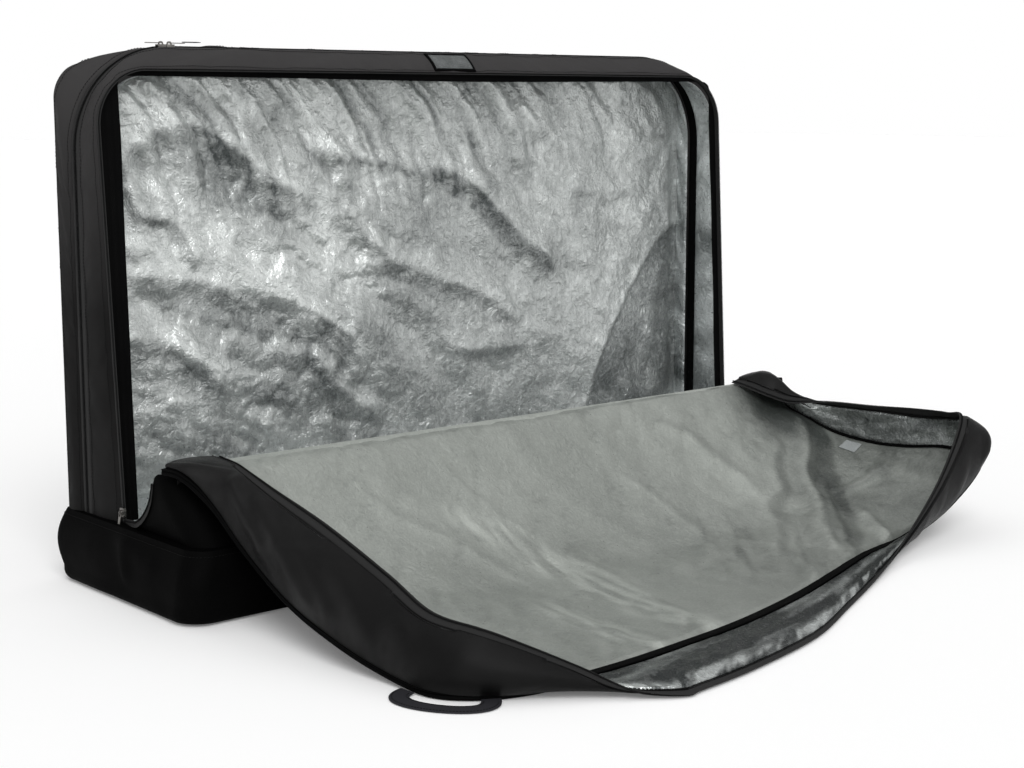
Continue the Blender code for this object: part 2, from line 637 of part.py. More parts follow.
def gusset_lines():
    """Seam, fullest line and free edge of the flap's gusset."""
    seam = flap_seam()
    free = seam + smooth_path(FREE_EDGE_SHARES, STEPS_PER_STATION) * FLAP_GUSSET_WIDTH
    belly = seam + smooth_path(BELLY_SHARES, STEPS_PER_STATION) * FLAP_GUSSET_WIDTH
    low = max(GUSSET_WALL / 2, TAPE_CLOTH / 2 + RUN_GAP + COIL_HEIGHT) + FLAP_FREE_PLAY
    free[:, 2] = np.maximum(free[:, 2], low)
    belly[:, 2] = np.maximum(belly[:, 2], low)
    return seam, belly, free


def square_slope(leg, tangent):
    """Twice the length of a leg of the gusset's curve, measured square to the seam's line."""
    leg_square = leg - tangent * np.sum(leg * tangent, axis=1, keepdims=True)
    return 2 * np.linalg.norm(leg_square, axis=1, keepdims=True)


def gusset_point(seam, belly, free, share):
    """A point on the gusset's curve from the seam through the fullest line to the free edge."""
    rest = 1.0 - share
    return rest ** 2 * seam + 2 * rest * share * belly + share ** 2 * free


def gusset_grid(first, last, rows):
    """The gusset's middle surface between a distance from the seam and one from the free edge."""
    seam, belly, free = gusset_lines()
    near_slope = square_slope(belly - seam, unit(np.gradient(seam, axis=0)))
    far_slope = 2 * np.linalg.norm(free - belly, axis=1, keepdims=True)
    start = first / near_slope
    end = 1.0 - last / far_slope
    columns = [gusset_point(seam, belly, free, start + (end - start) * step / (rows - 1))
               for step in range(rows)]
    return np.stack(columns, axis=1)


def flap_boundary():
    """Left, far and right edges of the flap's panel, drawn in from the seam."""
    seam = flap_seam()
    tangent = unit(np.gradient(seam, axis=0))
    inward = np.cross(UPRIGHT, tangent)
    inward = unit(inward)
    rim = seam + inward * (PIPING_RADIUS + SEAT_GAP)
    rim[0] = seam[0] + np.array([PIPING_RADIUS + SEAT_GAP, 0.0, 0.0])
    rim[-1] = seam[-1] - np.array([PIPING_RADIUS + SEAT_GAP, 0.0, 0.0])
    left_end = LEFT_CORNER_STATION * STEPS_PER_STATION
    right_start = RIGHT_CORNER_STATION * STEPS_PER_STATION
    return rim[:left_end + 1], rim[left_end:right_start + 1], rim[right_start:][::-1]


def flap_surface():
    """Middle surface of the panel: its plan blends the four edges, its height sags to the floor."""
    left, far, right = flap_boundary()
    rows, columns = len(left), len(far)
    down = np.linspace(0.0, 1.0, rows)[:, None]
    across = np.linspace(0.0, 1.0, columns)[None, :]
    fold = left[0] + (right[0] - left[0]) * across.T
    sides = left[:, None, :] * (1 - across[..., None]) + right[:, None, :] * across[..., None]
    ends = fold[None, :, :] * (1 - down[..., None]) + far[None, :, :] * down[..., None]
    corners = ((left[0] * (1 - across.T) + right[0] * across.T)[None] * (1 - down[..., None])
               + (left[-1] * (1 - across.T) + right[-1] * across.T)[None] * down[..., None])
    surface = sides + ends - corners
    valley_at = [share for share, _ in VALLEY_SHARES]
    valley_to = [share for _, share in VALLEY_SHARES]
    reach_share = (FOLD_Y - surface[..., 1]) / FLAP_REACH
    valley = np.interp(reach_share, valley_at, valley_to) * FOLD_HEIGHT
    valley_left, valley_right = valley[:, :1], valley[:, -1:]
    height = (valley + (left[:, None, 2] - valley_left) * (1 - across) ** FLAP_EDGE_POWER
              + (right[:, None, 2] - valley_right) * across ** FLAP_VALLEY_POWER)
    miss = far[None, :, 2] - height[-1:, :]
    height = height + miss * down ** FLAP_EDGE_POWER
    surface[..., 2] = np.maximum(height, HALF_WALL + FLAP_FREE_PLAY)
    surface[0] = fold
    return surface


def build_flap():
    surface = flap_surface()
    normals = grid_normals(surface)
    normals *= np.sign(normals[..., 2:3].mean())
    normals[0] = UPRIGHT
    for rim in (np.s_[1:, 0], np.s_[1:, -1], np.s_[-1, :]):
        normals[rim] = upright_normals(surface[rim])
    layers = (("outer", CLOTH_LAYER, "shell"), ("foam", FOAM_LAYER, "foam"),
              ("lining", LINING_LAYER, "flap_lining"))
    for layer_name, (start, end), colour_key in layers:
        slab("flap_" + layer_name, surface + normals * (start - HALF_WALL),
             surface + normals * (end - HALF_WALL), colour_key)
    build_care_label(surface, normals)
    seam = flap_seam()
    tube_piece("flap_piping", seam, PIPING_RADIUS, PIPING_SIDES, "tape")
    build_flap_gusset()
    build_handle(seam)


def build_flap_gusset():
    cloth = gusset_grid(PIPING_RADIUS + GUSSET_SEAT, FLAP_TAPE_WIDTH + TAPE_SEAM, GUSSET_ROWS)
    seam, belly, free = gusset_lines()
    far_slope = 2 * np.linalg.norm(free - belly, axis=1, keepdims=True)
    tape_start = gusset_point(seam, belly, free, 1.0 - FLAP_TAPE_WIDTH / far_slope)
    coil_start = free + (tape_start - free) * COIL_WIDTH / 2 / FLAP_TAPE_WIDTH
    tape = np.stack([tape_start, coil_start, free], axis=1)
    every_normal = evened(grid_normals(np.concatenate([cloth, tape], axis=1)))
    normals, tape_normals = every_normal[:, :GUSSET_ROWS], every_normal[:, GUSSET_ROWS:]
    half = GUSSET_WALL / 2
    foam_start = SHELL_CLOTH + SEAT_GAP
    layers = (("outer", 0.0, SHELL_CLOTH, "shell"),
              ("foam", foam_start, foam_start + GUSSET_FOAM, "foam"),
              ("lining", GUSSET_WALL - LINING_CLOTH, GUSSET_WALL, "flap_lining"))
    for layer_name, near, far, colour_key in layers:
        slab("flap_gusset_" + layer_name, cloth + normals * (half - near),
             cloth + normals * (half - far), colour_key)
    slab("flap_zip_tape", tape + tape_normals * TAPE_CLOTH / 2, tape - tape_normals * TAPE_CLOTH / 2, "tape")
    coil, coil_normals = tape[:, 1:], tape_normals[:, 1:]
    lift = TAPE_CLOTH / 2 + RUN_GAP
    slab("flap_zip_coil", coil + coil_normals * (lift + COIL_HEIGHT), coil + coil_normals * lift, "coil")


def build_care_label(surface, normals):
    """A sewn-in strip that lies on the lining beside the right seam."""
    rows = slice(LABEL_ROWS[0], LABEL_ROWS[1] + 1)
    inner_column = LABEL_INNER_SHARE * (surface.shape[1] - 1)
    outer_column = LABEL_OUTER_SHARE * (surface.shape[1] - 1)

    def lying(depth):
        layer = surface + normals * (HALF_WALL + depth)
        columns = []
        for column in (inner_column, outer_column):
            low = min(int(column), surface.shape[1] - 2)
            share = column - low
            columns.append(layer[rows, low] * (1 - share) + layer[rows, low + 1] * share)
        return np.stack(columns, axis=1)

    slab("care_label", lying(LABEL_LIFT + LABEL_SHEET), lying(LABEL_LIFT), "label")


def build_handle(seam):
    """A flat webbing loop sewn to the seam on both sides of the far left corner."""
    tangent = unit(np.gradient(seam, axis=0))
    outward = unit(np.cross(tangent, UPRIGHT))
    start = HANDLE_START_STATION * STEPS_PER_STATION
    end = HANDLE_END_STATION * STEPS_PER_STATION
    index = np.arange(len(seam))
    anchors, directions = [], []
    for position in (start, end):
        point = np.array([np.interp(position, index, seam[:, axis]) for axis in range(3)])
        direction = unit(np.array([np.interp(position, index, outward[:, axis]) for axis in range(3)]))
        anchors.append(point + direction * (PIPING_RADIUS + HANDLE_SEAT))
        directions.append(direction)
    controls = (anchors[0], anchors[0] + directions[0] * HANDLE_REACH,
                anchors[1] + directions[1] * HANDLE_REACH, anchors[1])
    shares = np.linspace(0.0, 1.0, HANDLE_STEPS + 1)[:, None]
    rest = 1 - shares
    line = (rest ** 3 * controls[0] + 3 * rest ** 2 * shares * controls[1]
            + 3 * rest * shares ** 2 * controls[2] + shares ** 3 * controls[3])
    seam_height = HALF_WALL - HANDLE_WEB_SHEET / 2
    line[:, 2] = FLAP_FREE_PLAY + seam_height * (1 - np.sin(np.pi * shares[:, 0])) ** 2
    slope = (rest ** 2 * (controls[1] - controls[0]) + 2 * rest * shares * (controls[2] - controls[1])
             + shares ** 2 * (controls[3] - controls[2]))
    side = unit(np.cross(slope, UPRIGHT))
    half = HANDLE_WEB_WIDTH / 2
    low = np.stack([line - side * half, line + side * half], axis=1)
    high = low + np.array([0.0, 0.0, HANDLE_WEB_SHEET])
    slab("grab_handle", high, low, "webbing")


# Zip sliders


def boolean(target, operand, operation):
    cut = target.modifiers.new(operation.lower(), "BOOLEAN")
    cut.operation = operation
    cut.object = operand
    cut.solver = "EXACT"
    operand.hide_render = True
    operand.display_type = "WIRE"


def guide(name, points, faces):
    thing = bpy.data.objects.new(name, closed_mesh(name, points, faces))
    bpy.context.scene.collection.objects.link(thing)
    return thing


def baked(target, helpers):
    """The target's mesh with its modifiers applied; the helpers are removed."""
    view = bpy.context.evaluated_depsgraph_get()
    mesh = bpy.data.meshes.new_from_object(target.evaluated_get(view))
    for thing in (target, *helpers):
        bpy.data.objects.remove(thing, do_unlink=True)
    return mesh


def prism(outline, low, high):
    """Points and faces of a straight prism over an outline in the plane of the first two axes."""
    count = len(outline)
    points = [(x, y, low) for x, y in outline] + [(x, y, high) for x, y in outline]
    faces = [tuple(range(count)), tuple(range(2 * count - 1, count - 1, -1))]
    faces += [(i, (i + 1) % count, (i + 1) % count + count, i + count) for i in range(count)]
    return points, faces


def slider_mesh():
    """A slider in its own frame: X along its travel, Y across, Z away from the tape."""
    inner_half = COIL_WIDTH / 2 + RUN_GAP
    foot = RUN_GAP
    roof = COIL_HEIGHT + RUN_GAP
    top = roof + SLIDER_PLATE
    stations = ((-0.5, SLIDER_TAIL_WIDTH), (0.15, SLIDER_SHOULDER_WIDTH), (0.5, SLIDER_NOSE_WIDTH))
    sections = []
    for share, width in stations:
        half = width / 2
        profile = ((-half, foot), (-half, top), (half, top), (half, foot),
                   (inner_half, foot), (inner_half, roof), (-inner_half, roof), (-inner_half, foot))
        sections.append([(share * SLIDER_LENGTH, y, z) for y, z in profile])
    points = [point for section in sections for point in section]
    sides = len(sections[0])
    faces = []
    for level in range(len(sections) - 1):
        for corner in range(sides):
            beside = (corner + 1) % sides
            a, b = level * sides + corner, level * sides + beside
            faces.append((a, b, b + sides, a + sides))
    last = (len(sections) - 1) * sides
    for base in (0, last):
        faces.append((base, base + 1, base + 6, base + 7))
        faces.append((base + 1, base + 2, base + 5, base + 6))
        faces.append((base + 2, base + 3, base + 4, base + 5))
    body = guide("slider_body", points, faces)
    crown = crown_guide(top)
    boolean(body, crown, "UNION")
    return baked(body, (crown,))


def crown_guide(top):
    """The arch on a slider's plate that holds the pull."""
    sink = SLIDER_PLATE / 2
    half = CROWN_LENGTH / 2
    outer = [(-half, top - sink)]
    inner = [(-half + CROWN_WIRE, top - sink)]
    for step in range(CORNER_STEPS * 2 + 1):
        angle = math.pi - step / (CORNER_STEPS * 2) * math.pi
        outer.append((half * math.cos(angle), top + CROWN_RISE * max(math.sin(angle), 0.0) ** 0.6))
        inner.append(((half - CROWN_WIRE) * math.cos(angle),
                      top + (CROWN_RISE - CROWN_WIRE) * max(math.sin(angle), 0.0) ** 0.6))
    outer.append((half, top - sink))
    inner.append((half - CROWN_WIRE, top - sink))
    outline = outer + inner[::-1]
    side = CROWN_WIDTH / 2
    points = [(x, -side, z) for x, z in outline] + [(x, side, z) for x, z in outline]
    count = len(outline)
    faces = []
    for index in range(len(outer) - 1):
        mirror = count - 1 - index
        faces.append((index, index + 1, mirror - 1, mirror))
        faces.append((mirror + count, mirror - 1 + count, index + 1 + count, index + count))
    faces += [(i, (i + 1) % count, (i + 1) % count + count, i + count) for i in range(count)]
    return guide("crown", points, faces)


def pull_mesh():
    """A pull tab in its own frame: its hinge on the origin, hanging along -X, flat in X and Y."""
    half = PULL_WIDTH / 2
    head = PULL_RIM / 2
    taper = half * 0.72
    outline = [(-head, half), (head, half - PULL_RIM), (head, -half + PULL_RIM),
               (-head, -half), (-PULL_LENGTH * 0.55, -taper), (-PULL_LENGTH + half, -half)]
    for step in range(1, 2 * CORNER_STEPS):
        angle = -math.pi / 2 - step / (2 * CORNER_STEPS) * math.pi
        outline.append((-PULL_LENGTH + half + half * math.cos(angle), half * math.sin(angle)))
    outline += [(-PULL_LENGTH + half, half), (-PULL_LENGTH * 0.55, taper)]
    plate = guide("pull_plate", *prism(outline, -PULL_THICKNESS / 2, PULL_THICKNESS / 2))
    eye_front = -head
    eye_half = PULL_EYE_WIDTH / 2
    eye = ((eye_front, -eye_half), (eye_front, eye_half), (eye_front - PULL_EYE_LENGTH, eye_half),
           (eye_front - PULL_EYE_LENGTH, -eye_half))
    eye_cutter = guide("pull_eye", *prism(eye, -PULL_THICKNESS, PULL_THICKNESS))
    grip_half = half * 0.45
    grip_near, grip_far = -PULL_LENGTH * 0.66, -PULL_LENGTH + half * 0.9
    grip = ((grip_near, -grip_half), (grip_near, grip_half), (grip_far, grip_half), (grip_far, -grip_half))
    grip_cutter = guide("pull_grip", *prism(grip, -PULL_THICKNESS, PULL_THICKNESS))
    boolean(plate, eye_cutter, "DIFFERENCE")
    boolean(plate, grip_cutter, "DIFFERENCE")
    return baked(plate, (eye_cutter, grip_cutter))


def frame_matrix(origin, along, away):
    """Placement whose X is the travel and whose Z points away from the tape."""
    x_axis = Vector(along).normalized()
    z_axis = Vector(away).normalized()
    y_axis = z_axis.cross(x_axis)
    turn = Matrix((x_axis, y_axis, z_axis)).transposed().to_4x4()
    return Matrix.Translation(Vector(origin)) @ turn


def crown_pivot_height():
    """Height of a pull's hinge above the tape, inside the crown's arch."""
    bar = math.hypot(PULL_RIM, PULL_THICKNESS) / 2
    return COIL_HEIGHT + RUN_GAP + SLIDER_PLATE + CROWN_RISE - CROWN_WIRE - bar - RUN_GAP / 2


def place_slider(name, matrix, body_mesh, tab_mesh, tilt=0.0):
    """A slider and its pull, which lies back along the travel at a tilt from the tape."""
    slider = place(name, body_mesh.copy(), "metal")
    slider.matrix_world = matrix
    hinge = bpy.data.objects.new(name + "_hinge", None)
    bpy.context.scene.collection.objects.link(hinge)
    turn = Matrix.Rotation(math.radians(tilt), 4, "Y")
    hinge.matrix_world = matrix @ Matrix.Translation((0.0, 0.0, crown_pivot_height())) @ turn
    tab = place(name + "_pull", tab_mesh.copy(), "metal", hinge)
    return slider, tab


def mouth_leg(sign):
    """Foot point, unit direction and outward normal of a straight leg of the mouth zip."""
    outline = mouth_arch(COIL_WIDTH / 2, 0.0)
    foot, top = outline[0], outline[LEG_STEPS]
    along = unit(top - foot)
    across = np.array([0.0, -1.0, 0.0])
    away = unit(np.cross(along, across))
    mirror = np.array([-sign, 1.0, 1.0])
    away = away * np.sign(-away[0])
    return foot * mirror, along * mirror, away * mirror


def build_sliders():
    body_mesh, tab_mesh = slider_mesh(), pull_mesh()
    for side, sign in (("left", -1.0), ("right", 1.0)):
        foot, along, away = mouth_leg(sign)
        origin = foot + along * (SLIDER_PARKING + SLIDER_LENGTH / 2)
        matrix = frame_matrix(origin, along, away)
        place_slider("main_slider_" + side, matrix, body_mesh, tab_mesh, MAIN_PULL_TILT)
    arc_x = -MIDDLE_HALF_WIDTH + MIDDLE_RADIUS
    spacing = SLIDER_LENGTH / 2 + RUN_GAP
    along = np.array([1.0, 0.0, 0.0])
    away = np.array([0.0, 0.0, 1.0])
    start = np.array([arc_x, MIDDLE_Y, BAG_HEIGHT])
    _, top_tab = place_slider("middle_slider_top", frame_matrix(start + along * spacing, -along, away),
                              body_mesh, tab_mesh)
    place_slider("middle_slider_corner", frame_matrix(start - along * spacing, along, away),
                 body_mesh, tab_mesh)
    build_cord_pull(top_tab.parent)


def build_cord_pull(hinge):
    """A flat cord loop threaded through the grip of the top slider's pull."""
    half = CORD_PULL_WIDTH / 2
    lift = PULL_THICKNESS / 2 + SEAT_GAP
    start = -PULL_LENGTH + PULL_WIDTH / 2
    outline = ((start, -half), (start, half), (start - CORD_PULL_LENGTH, half),
               (start - CORD_PULL_LENGTH, -half))
    mesh = closed_mesh("middle_slider_cord", *prism(outline, lift, lift + 2 * TAPE_CLOTH))
    place("middle_slider_cord", mesh, "webbing", hinge)


# Identity window


def build_window():
    outer_y = MOUTH_TOP_Y + MOUTH_TAPE_WIDTH + SEAT_GAP
    inner_y = MIDDLE_Y - MIDDLE_TAPE_WIDTH / 2 - SEAT_GAP
    low = np.array([0.0, outer_y, MOUTH_TOP])
    high = np.array([0.0, inner_y, BAG_HEIGHT])
    along = np.array([1.0, 0.0, 0.0])
    slope = unit(high - low)
    away = np.cross(along, slope)
    origin = (low + high) / 2 + along * WINDOW_X
    matrix = frame_matrix(origin, along, away)
    half_x, half_y = WINDOW_LENGTH / 2, WINDOW_HEIGHT / 2
    frame_low = SEAT_GAP
    frame_high = frame_low + WINDOW_FRAME_SHEET
    inner_x, inner_y = half_x - WINDOW_FRAME_BORDER, half_y - WINDOW_FRAME_BORDER
    rims = []
    for height in (frame_low, frame_high):
        for x, y in ((half_x, half_y), (inner_x, inner_y)):
            rims.append([(-x, -y, height), (x, -y, height), (x, y, height), (-x, y, height)])
    points = [point for rim in rims for point in rim]
    faces = []
    for i in range(4):
        j = (i + 1) % 4
        faces += [(i, j, j + 4, i + 4), (i + 8, i + 12, j + 12, j + 8),
                  (i, i + 8, j + 8, j), (i + 4, j + 4, j + 12, i + 12)]
    frame = place("window_frame", closed_mesh("window_frame", points, faces), "tape")
    frame.matrix_world = matrix
    card_x, card_y = inner_x - SEAT_GAP, inner_y - SEAT_GAP
    card_outline = ((-card_x, -card_y), (card_x, -card_y), (card_x, card_y), (-card_x, card_y))
    card_low = SEAT_GAP
    film_low = card_low + WINDOW_CARD_SHEET + SEAT_GAP
    sheets = (("window_card", card_low, WINDOW_CARD_SHEET, "card"),
              ("window_film", film_low, WINDOW_FILM_SHEET, "film"))
    for name, bottom, sheet, colour_key in sheets:
        piece = place(name, closed_mesh(name, *prism(card_outline, bottom, bottom + sheet)), colour_key)
        piece.matrix_world = matrix


def main():
    clear_scene()
    build_boot()
    build_back_panel()
    build_upper_gussets()
    build_front_wall()
    build_flap()
    build_window()
    build_sliders()


main()
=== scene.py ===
"""Looks of a soft travel bag for a bicycle, standing open with its flap laid on the floor.

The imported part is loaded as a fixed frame. Every piece is computed in metres in that frame:
+X along the bag, +Y to the back panel, +Z up, the origin under the centre of the base.
"""

import logging
import math
from dataclasses import dataclass, field
from enum import Enum
from typing import Callable, Optional, Sequence

import bpy
import bmesh
import numpy as np
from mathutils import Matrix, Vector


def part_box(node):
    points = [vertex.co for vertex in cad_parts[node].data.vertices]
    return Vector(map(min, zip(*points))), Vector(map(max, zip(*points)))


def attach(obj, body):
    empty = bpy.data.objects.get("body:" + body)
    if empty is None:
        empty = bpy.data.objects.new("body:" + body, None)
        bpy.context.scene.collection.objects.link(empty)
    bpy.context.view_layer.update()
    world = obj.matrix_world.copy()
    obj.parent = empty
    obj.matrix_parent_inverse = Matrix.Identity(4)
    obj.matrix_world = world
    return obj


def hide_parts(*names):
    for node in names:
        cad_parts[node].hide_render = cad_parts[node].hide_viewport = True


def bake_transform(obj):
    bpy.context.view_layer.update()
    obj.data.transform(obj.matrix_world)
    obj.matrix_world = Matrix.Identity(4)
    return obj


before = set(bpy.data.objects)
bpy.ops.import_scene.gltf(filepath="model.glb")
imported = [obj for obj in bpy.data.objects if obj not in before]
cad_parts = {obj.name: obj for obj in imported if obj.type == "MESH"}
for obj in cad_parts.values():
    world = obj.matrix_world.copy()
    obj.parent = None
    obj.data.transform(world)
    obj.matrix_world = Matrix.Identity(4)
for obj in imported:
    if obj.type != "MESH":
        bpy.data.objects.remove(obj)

Array = np.ndarray
Thing = bpy.types.Object
Mesh = bpy.types.Mesh
Material = bpy.types.Material
Node = bpy.types.Node
Socket = bpy.types.NodeSocket
Pair = tuple[float, float]
Triple = tuple[float, float, float]
UP = np.array([0.0, 0.0, 1.0])
BACKWARDS = np.array([0.0, 1.0, 0.0])
MIRROR = np.array([-1.0, 1.0, 1.0])
FAR = 9.0
SHARP_EDGE = math.radians(40)
MERGE = 1e-5
THREAD, THREAD_RISE, THREAD_LIFT = 0.0009, 0.0003, 0.0002
TOOTH_LENGTH, TOOTH_THICKNESS, TOOTH_HEIGHT, TOOTH_LIFT = 0.003, 0.0015, 0.0021, 0.0012
log = logging.getLogger("bag")


# Number work on whole arrays


def unit(vectors: Array) -> Array:
    """Vectors divided by their own lengths."""
    return vectors / np.maximum(np.linalg.norm(vectors, axis=-1, keepdims=True), 1e-12)


def eased(share: Array) -> Array:
    """Smooth step: 3s^2 - 2s^3, with s held between 0 and 1."""
    held = np.clip(share, 0.0, 1.0)
    return held * held * (3.0 - 2.0 * held)


def ramp(count: int) -> Array:
    """Even steps from 0 to 1."""
    return np.linspace(0.0, 1.0, count)


def bell(offset: Array, width: float) -> Array:
    """Bell curve exp(-(offset / width)^2)."""
    return np.exp(-(offset / width) ** 2)


def spot(x: Array, y: Array, centre: Pair, size: Pair) -> Array:
    """Bell in two directions: exp(-((x - cx) / sx)^2 - ((y - cy) / sy)^2)."""
    return np.exp(-((x - centre[0]) / size[0]) ** 2 - ((y - centre[1]) / size[1]) ** 2)


def hump(share: Array, power: float = 1.0) -> Array:
    """Half a wave, sin(pi share)^power, nothing at both ends."""
    return np.sin(np.pi * share) ** power


def path_through(stations: Sequence[Sequence[float]], steps: int) -> Array:
    """Points on a Catmull-Rom curve through the stations.

    Between stations b and c with neighbours a and d:
    p(t) = (2b + (c-a)t + (2a-5b+4c-d)t^2 + (3b-a-3c+d)t^3) / 2.

    Args:
        stations: rows of numbers, one row for each station.
        steps: points for each span between two stations.

    Returns:
        Rows of points, the last station among them.
    """
    rows = np.asarray(stations, dtype=float)
    before = np.vstack([2 * rows[0] - rows[1], rows[:-1]])[:-1]
    start, end = rows[:-1], rows[1:]
    after = np.vstack([rows[1:], 2 * rows[-1] - rows[-2]])[1:]
    t = (np.arange(steps) / steps)[None, :, None]
    a, b, c, d = (item[:, None, :] for item in (before, start, end, after))
    inner = 0.5 * (2 * b + (c - a) * t + (2 * a - 5 * b + 4 * c - d) * t ** 2
                   + (3 * b - a - 3 * c + d) * t ** 3)
    return np.vstack([inner.reshape(-1, rows.shape[1]), rows[-1]])


def arc_lengths(line: Array) -> Array:
    """Distance along a line from its first point to each point."""
    steps = np.linalg.norm(np.diff(line, axis=0), axis=1)
    return np.concatenate([[0.0], np.cumsum(steps)])


def evenly(line: Array, spacing: float) -> Array:
    """A line resampled so that its points lie about one spacing apart.

    Args:
        line: rows that start with a place; the further columns follow it.
        spacing: the wanted distance.

    Returns:
        The new rows.
    """
    along = arc_lengths(line[:, :3])
    count = max(int(round(along[-1] / spacing)), 2)
    at = np.linspace(0.0, along[-1], count + 1)
    return np.column_stack([np.interp(at, along, line[:, axis]) for axis in range(line.shape[1])])


def grid_normals(grid: Array) -> Array:
    """Unit normals of a grid: the cross product of its two gradients."""
    return unit(np.cross(np.gradient(grid, axis=0), np.gradient(grid, axis=1)))


def between(first: Array, second: Array, shares: Array) -> Array:
    """Ruled surface (1-s) first + s second, a column for each share."""
    share = shares[None, :, None]
    return first[:, None, :] * (1.0 - share) + second[:, None, :] * share


def dice(i: Array, j: Array, seed: int) -> Array:
    """Repeatable random numbers from two whole numbers and a seed, by mixing their bits.

    Args:
        i: whole numbers, as floats.
        j: whole numbers, as floats.
        seed: start of the numbers.

    Returns:
        Numbers in 0..1.
    """
    n = i.astype(np.int64) * 374761393 + j.astype(np.int64) * 668265263 + seed * 974634777
    n = (n ^ (n >> 13)) * 1274126177
    n = n ^ (n >> 16)
    return (n & 0xFFFFFF) / float(0xFFFFFF)


def cloud(u: Array, v: Array, cell: float, seed: int) -> Array:
    """Smooth noise: random values on a square lattice, blended with the eased share.

    Args:
        u: first place of each point.
        v: second place of each point.
        cell: the lattice's spacing.
        seed: start of the random values.

    Returns:
        Values in -1..1.
    """
    x, y = u / cell, v / cell
    i, j = np.floor(x), np.floor(y)
    fx, fy = eased(x - i), eased(y - j)
    low = dice(i, j, seed) * (1 - fx) + dice(i + 1, j, seed) * fx
    high = dice(i, j + 1, seed) * (1 - fx) + dice(i + 1, j + 1, seed) * fx
    return 2.0 * (low * (1 - fy) + high * fy) - 1.0


def octave(u: Array, v: Array, cell: float, seed: int, k: int) -> Array:
    """The noise k steps finer, moved so that its lattice doesn't lie on the others."""
    return cloud(u + 7.3 * k, v - 3.1 * k, cell / 2 ** k, seed + k)


def clouds(u: Array, v: Array, cell: float, seed: int, octaves: int = 3) -> Array:
    """Sum of smooth noises, each with half the cell and half the height of the one before."""
    return sum(octave(u, v, cell, seed, k) / 2 ** k for k in range(octaves))


def billow(u: Array, v: Array, cell: float, seed: int, octaves: int = 3) -> Array:
    """Round lobes between sharp creases, in 0..1: the sum of |noise|, each half the one before."""
    return sum(np.abs(octave(u, v, cell, seed, k)) / 2 ** k for k in range(octaves))


def facets(u: Array, v: Array, cell: float, seed: int) -> Array:
    """Flat triangles between straight creases, as in cloth that was crushed.

    Random heights stand on the corners of a lattice of triangles, and each triangle is a
    plane: with x and y the shares inside a skewed cell, the height is
    (1 - max) h00 + |x - y| h_side + min h11.

    Args:
        u: first place of each point.
        v: second place of each point.
        cell: the lattice's spacing.
        seed: start of the random heights.

    Returns:
        Heights in -1..1.
    """
    skew = (u + v) * 0.3660254 / cell
    x, y = u / cell + skew, v / cell + skew
    i, j = np.floor(x), np.floor(y)
    x, y = x - i, y - j
    side = np.where(x > y, dice(i + 1, j, seed), dice(i, j + 1, seed))
    return 2.0 * ((1 - np.maximum(x, y)) * dice(i, j, seed) + np.abs(x - y) * side
                  + np.minimum(x, y) * dice(i + 1, j + 1, seed)) - 1.0


def crumple(u: Array, v: Array, cell: float, seed: int) -> Array:
    """Flat facets between sharp creases, as in crushed foil.

    The height is the least of nine cones, one on a scattered point of each near cell:
    h = min over k of (|p - p_k| + g_k . (p - p_k)), with a random slope g_k.

    Args:
        u: first place of each point.
        v: second place of each point.
        cell: the distance between the points that the cones stand on.
        seed: start of the random points.

    Returns:
        Heights, 0 at the cones' tips and about 1 between them.
    """
    x, y = u / cell, v / cell
    i, j = np.floor(x), np.floor(y)
    least = np.full(np.shape(x), FAR)
    for di in (-1, 0, 1):
        for dj in (-1, 0, 1):
            ci, cj = i + di, j + dj
            dx = x - ci - dice(ci, cj, seed)
            dy = y - cj - dice(ci, cj, seed + 11)
            slope = (dice(ci, cj, seed + 23) - 0.5) * dx + (dice(ci, cj, seed + 37) - 0.5) * dy
            least = np.minimum(least, np.hypot(dx, dy) + 1.1 * slope)
    return least


@dataclass(frozen=True)
class Fold:
    """One fold in a cloth: the line of its crest and how it falls off on its two sides.

    The gentle side is on the left of the line, the steep side on its right.
    """

    path: tuple[Pair, ...]
    gentle: float
    steep: float
    height: float
    dark: float = 0.0
    dark_width: float = 0.03
    bright: float = 0.0

    def shares(self, u: Array, v: Array) -> tuple[Array, Array]:
        """Signed distance to the crest line and how far along it, for every point.

        Args:
            u: first place of each point.
            v: second place of each point.

        Returns:
            Distance, positive on the left of the line, and the share of its length.
        """
        line = evenly(path_through(self.path, 6), 0.02)
        along = arc_lengths(line) / arc_lengths(line)[-1]
        best = np.full(np.shape(u), FAR)
        signed, share = np.zeros_like(best), np.zeros_like(best)
        for start, end, s0, s1 in zip(line[:-1], line[1:], along[:-1], along[1:]):
            span = end - start
            t = np.clip(((u - start[0]) * span[0] + (v - start[1]) * span[1]) / (span @ span), 0, 1)
            du, dv = u - start[0] - t * span[0], v - start[1] - t * span[1]
            distance = np.hypot(du, dv)
            nearer = distance < best
            best = np.where(nearer, distance, best)
            signed = np.where(nearer, np.sign(span[0] * dv - span[1] * du) * distance, signed)
            share = np.where(nearer, s0 + t * (s1 - s0), share)
        return signed, share

    def relief(self, u: Array, v: Array, ragged: Array | float = 0.0) -> tuple[Array, Array]:
        """Height of the fold, and its shade: dark below the crest, bright along it.

        The height is a bell, exp(-(d/w)^2), whose width differs on the two sides; it fades
        over the first and last fifth of the line. The dark side starts sharply on the crest
        and ends softly; the bright side is a narrow bell just over the crest.

        Args:
            u: first place of each point.
            v: second place of each point.
            ragged: how far the dark side's end is moved, in metres.

        Returns:
            Heights in metres, and shades above 0 where it is dark.
        """
        signed, share = self.shares(u, v)
        fade = eased(share / 0.2) * eased((1 - share) / 0.2)
        width = np.where(signed > 0, self.gentle, self.steep)
        height = self.height * bell(signed, width) * fade
        reach = self.dark_width * (0.35 + 0.65 * hump(np.clip(share, 0.0, 1.0), 0.7))
        # Painted shade on the steep side below the crest, and a painted highlight just over the crest.
        dark = self.dark * eased((0.003 - signed) / 0.006) * eased((signed + reach + ragged) / 0.014)
        bright = self.bright * bell(signed - 0.008, 0.01)
        return height, (dark - bright) * fade


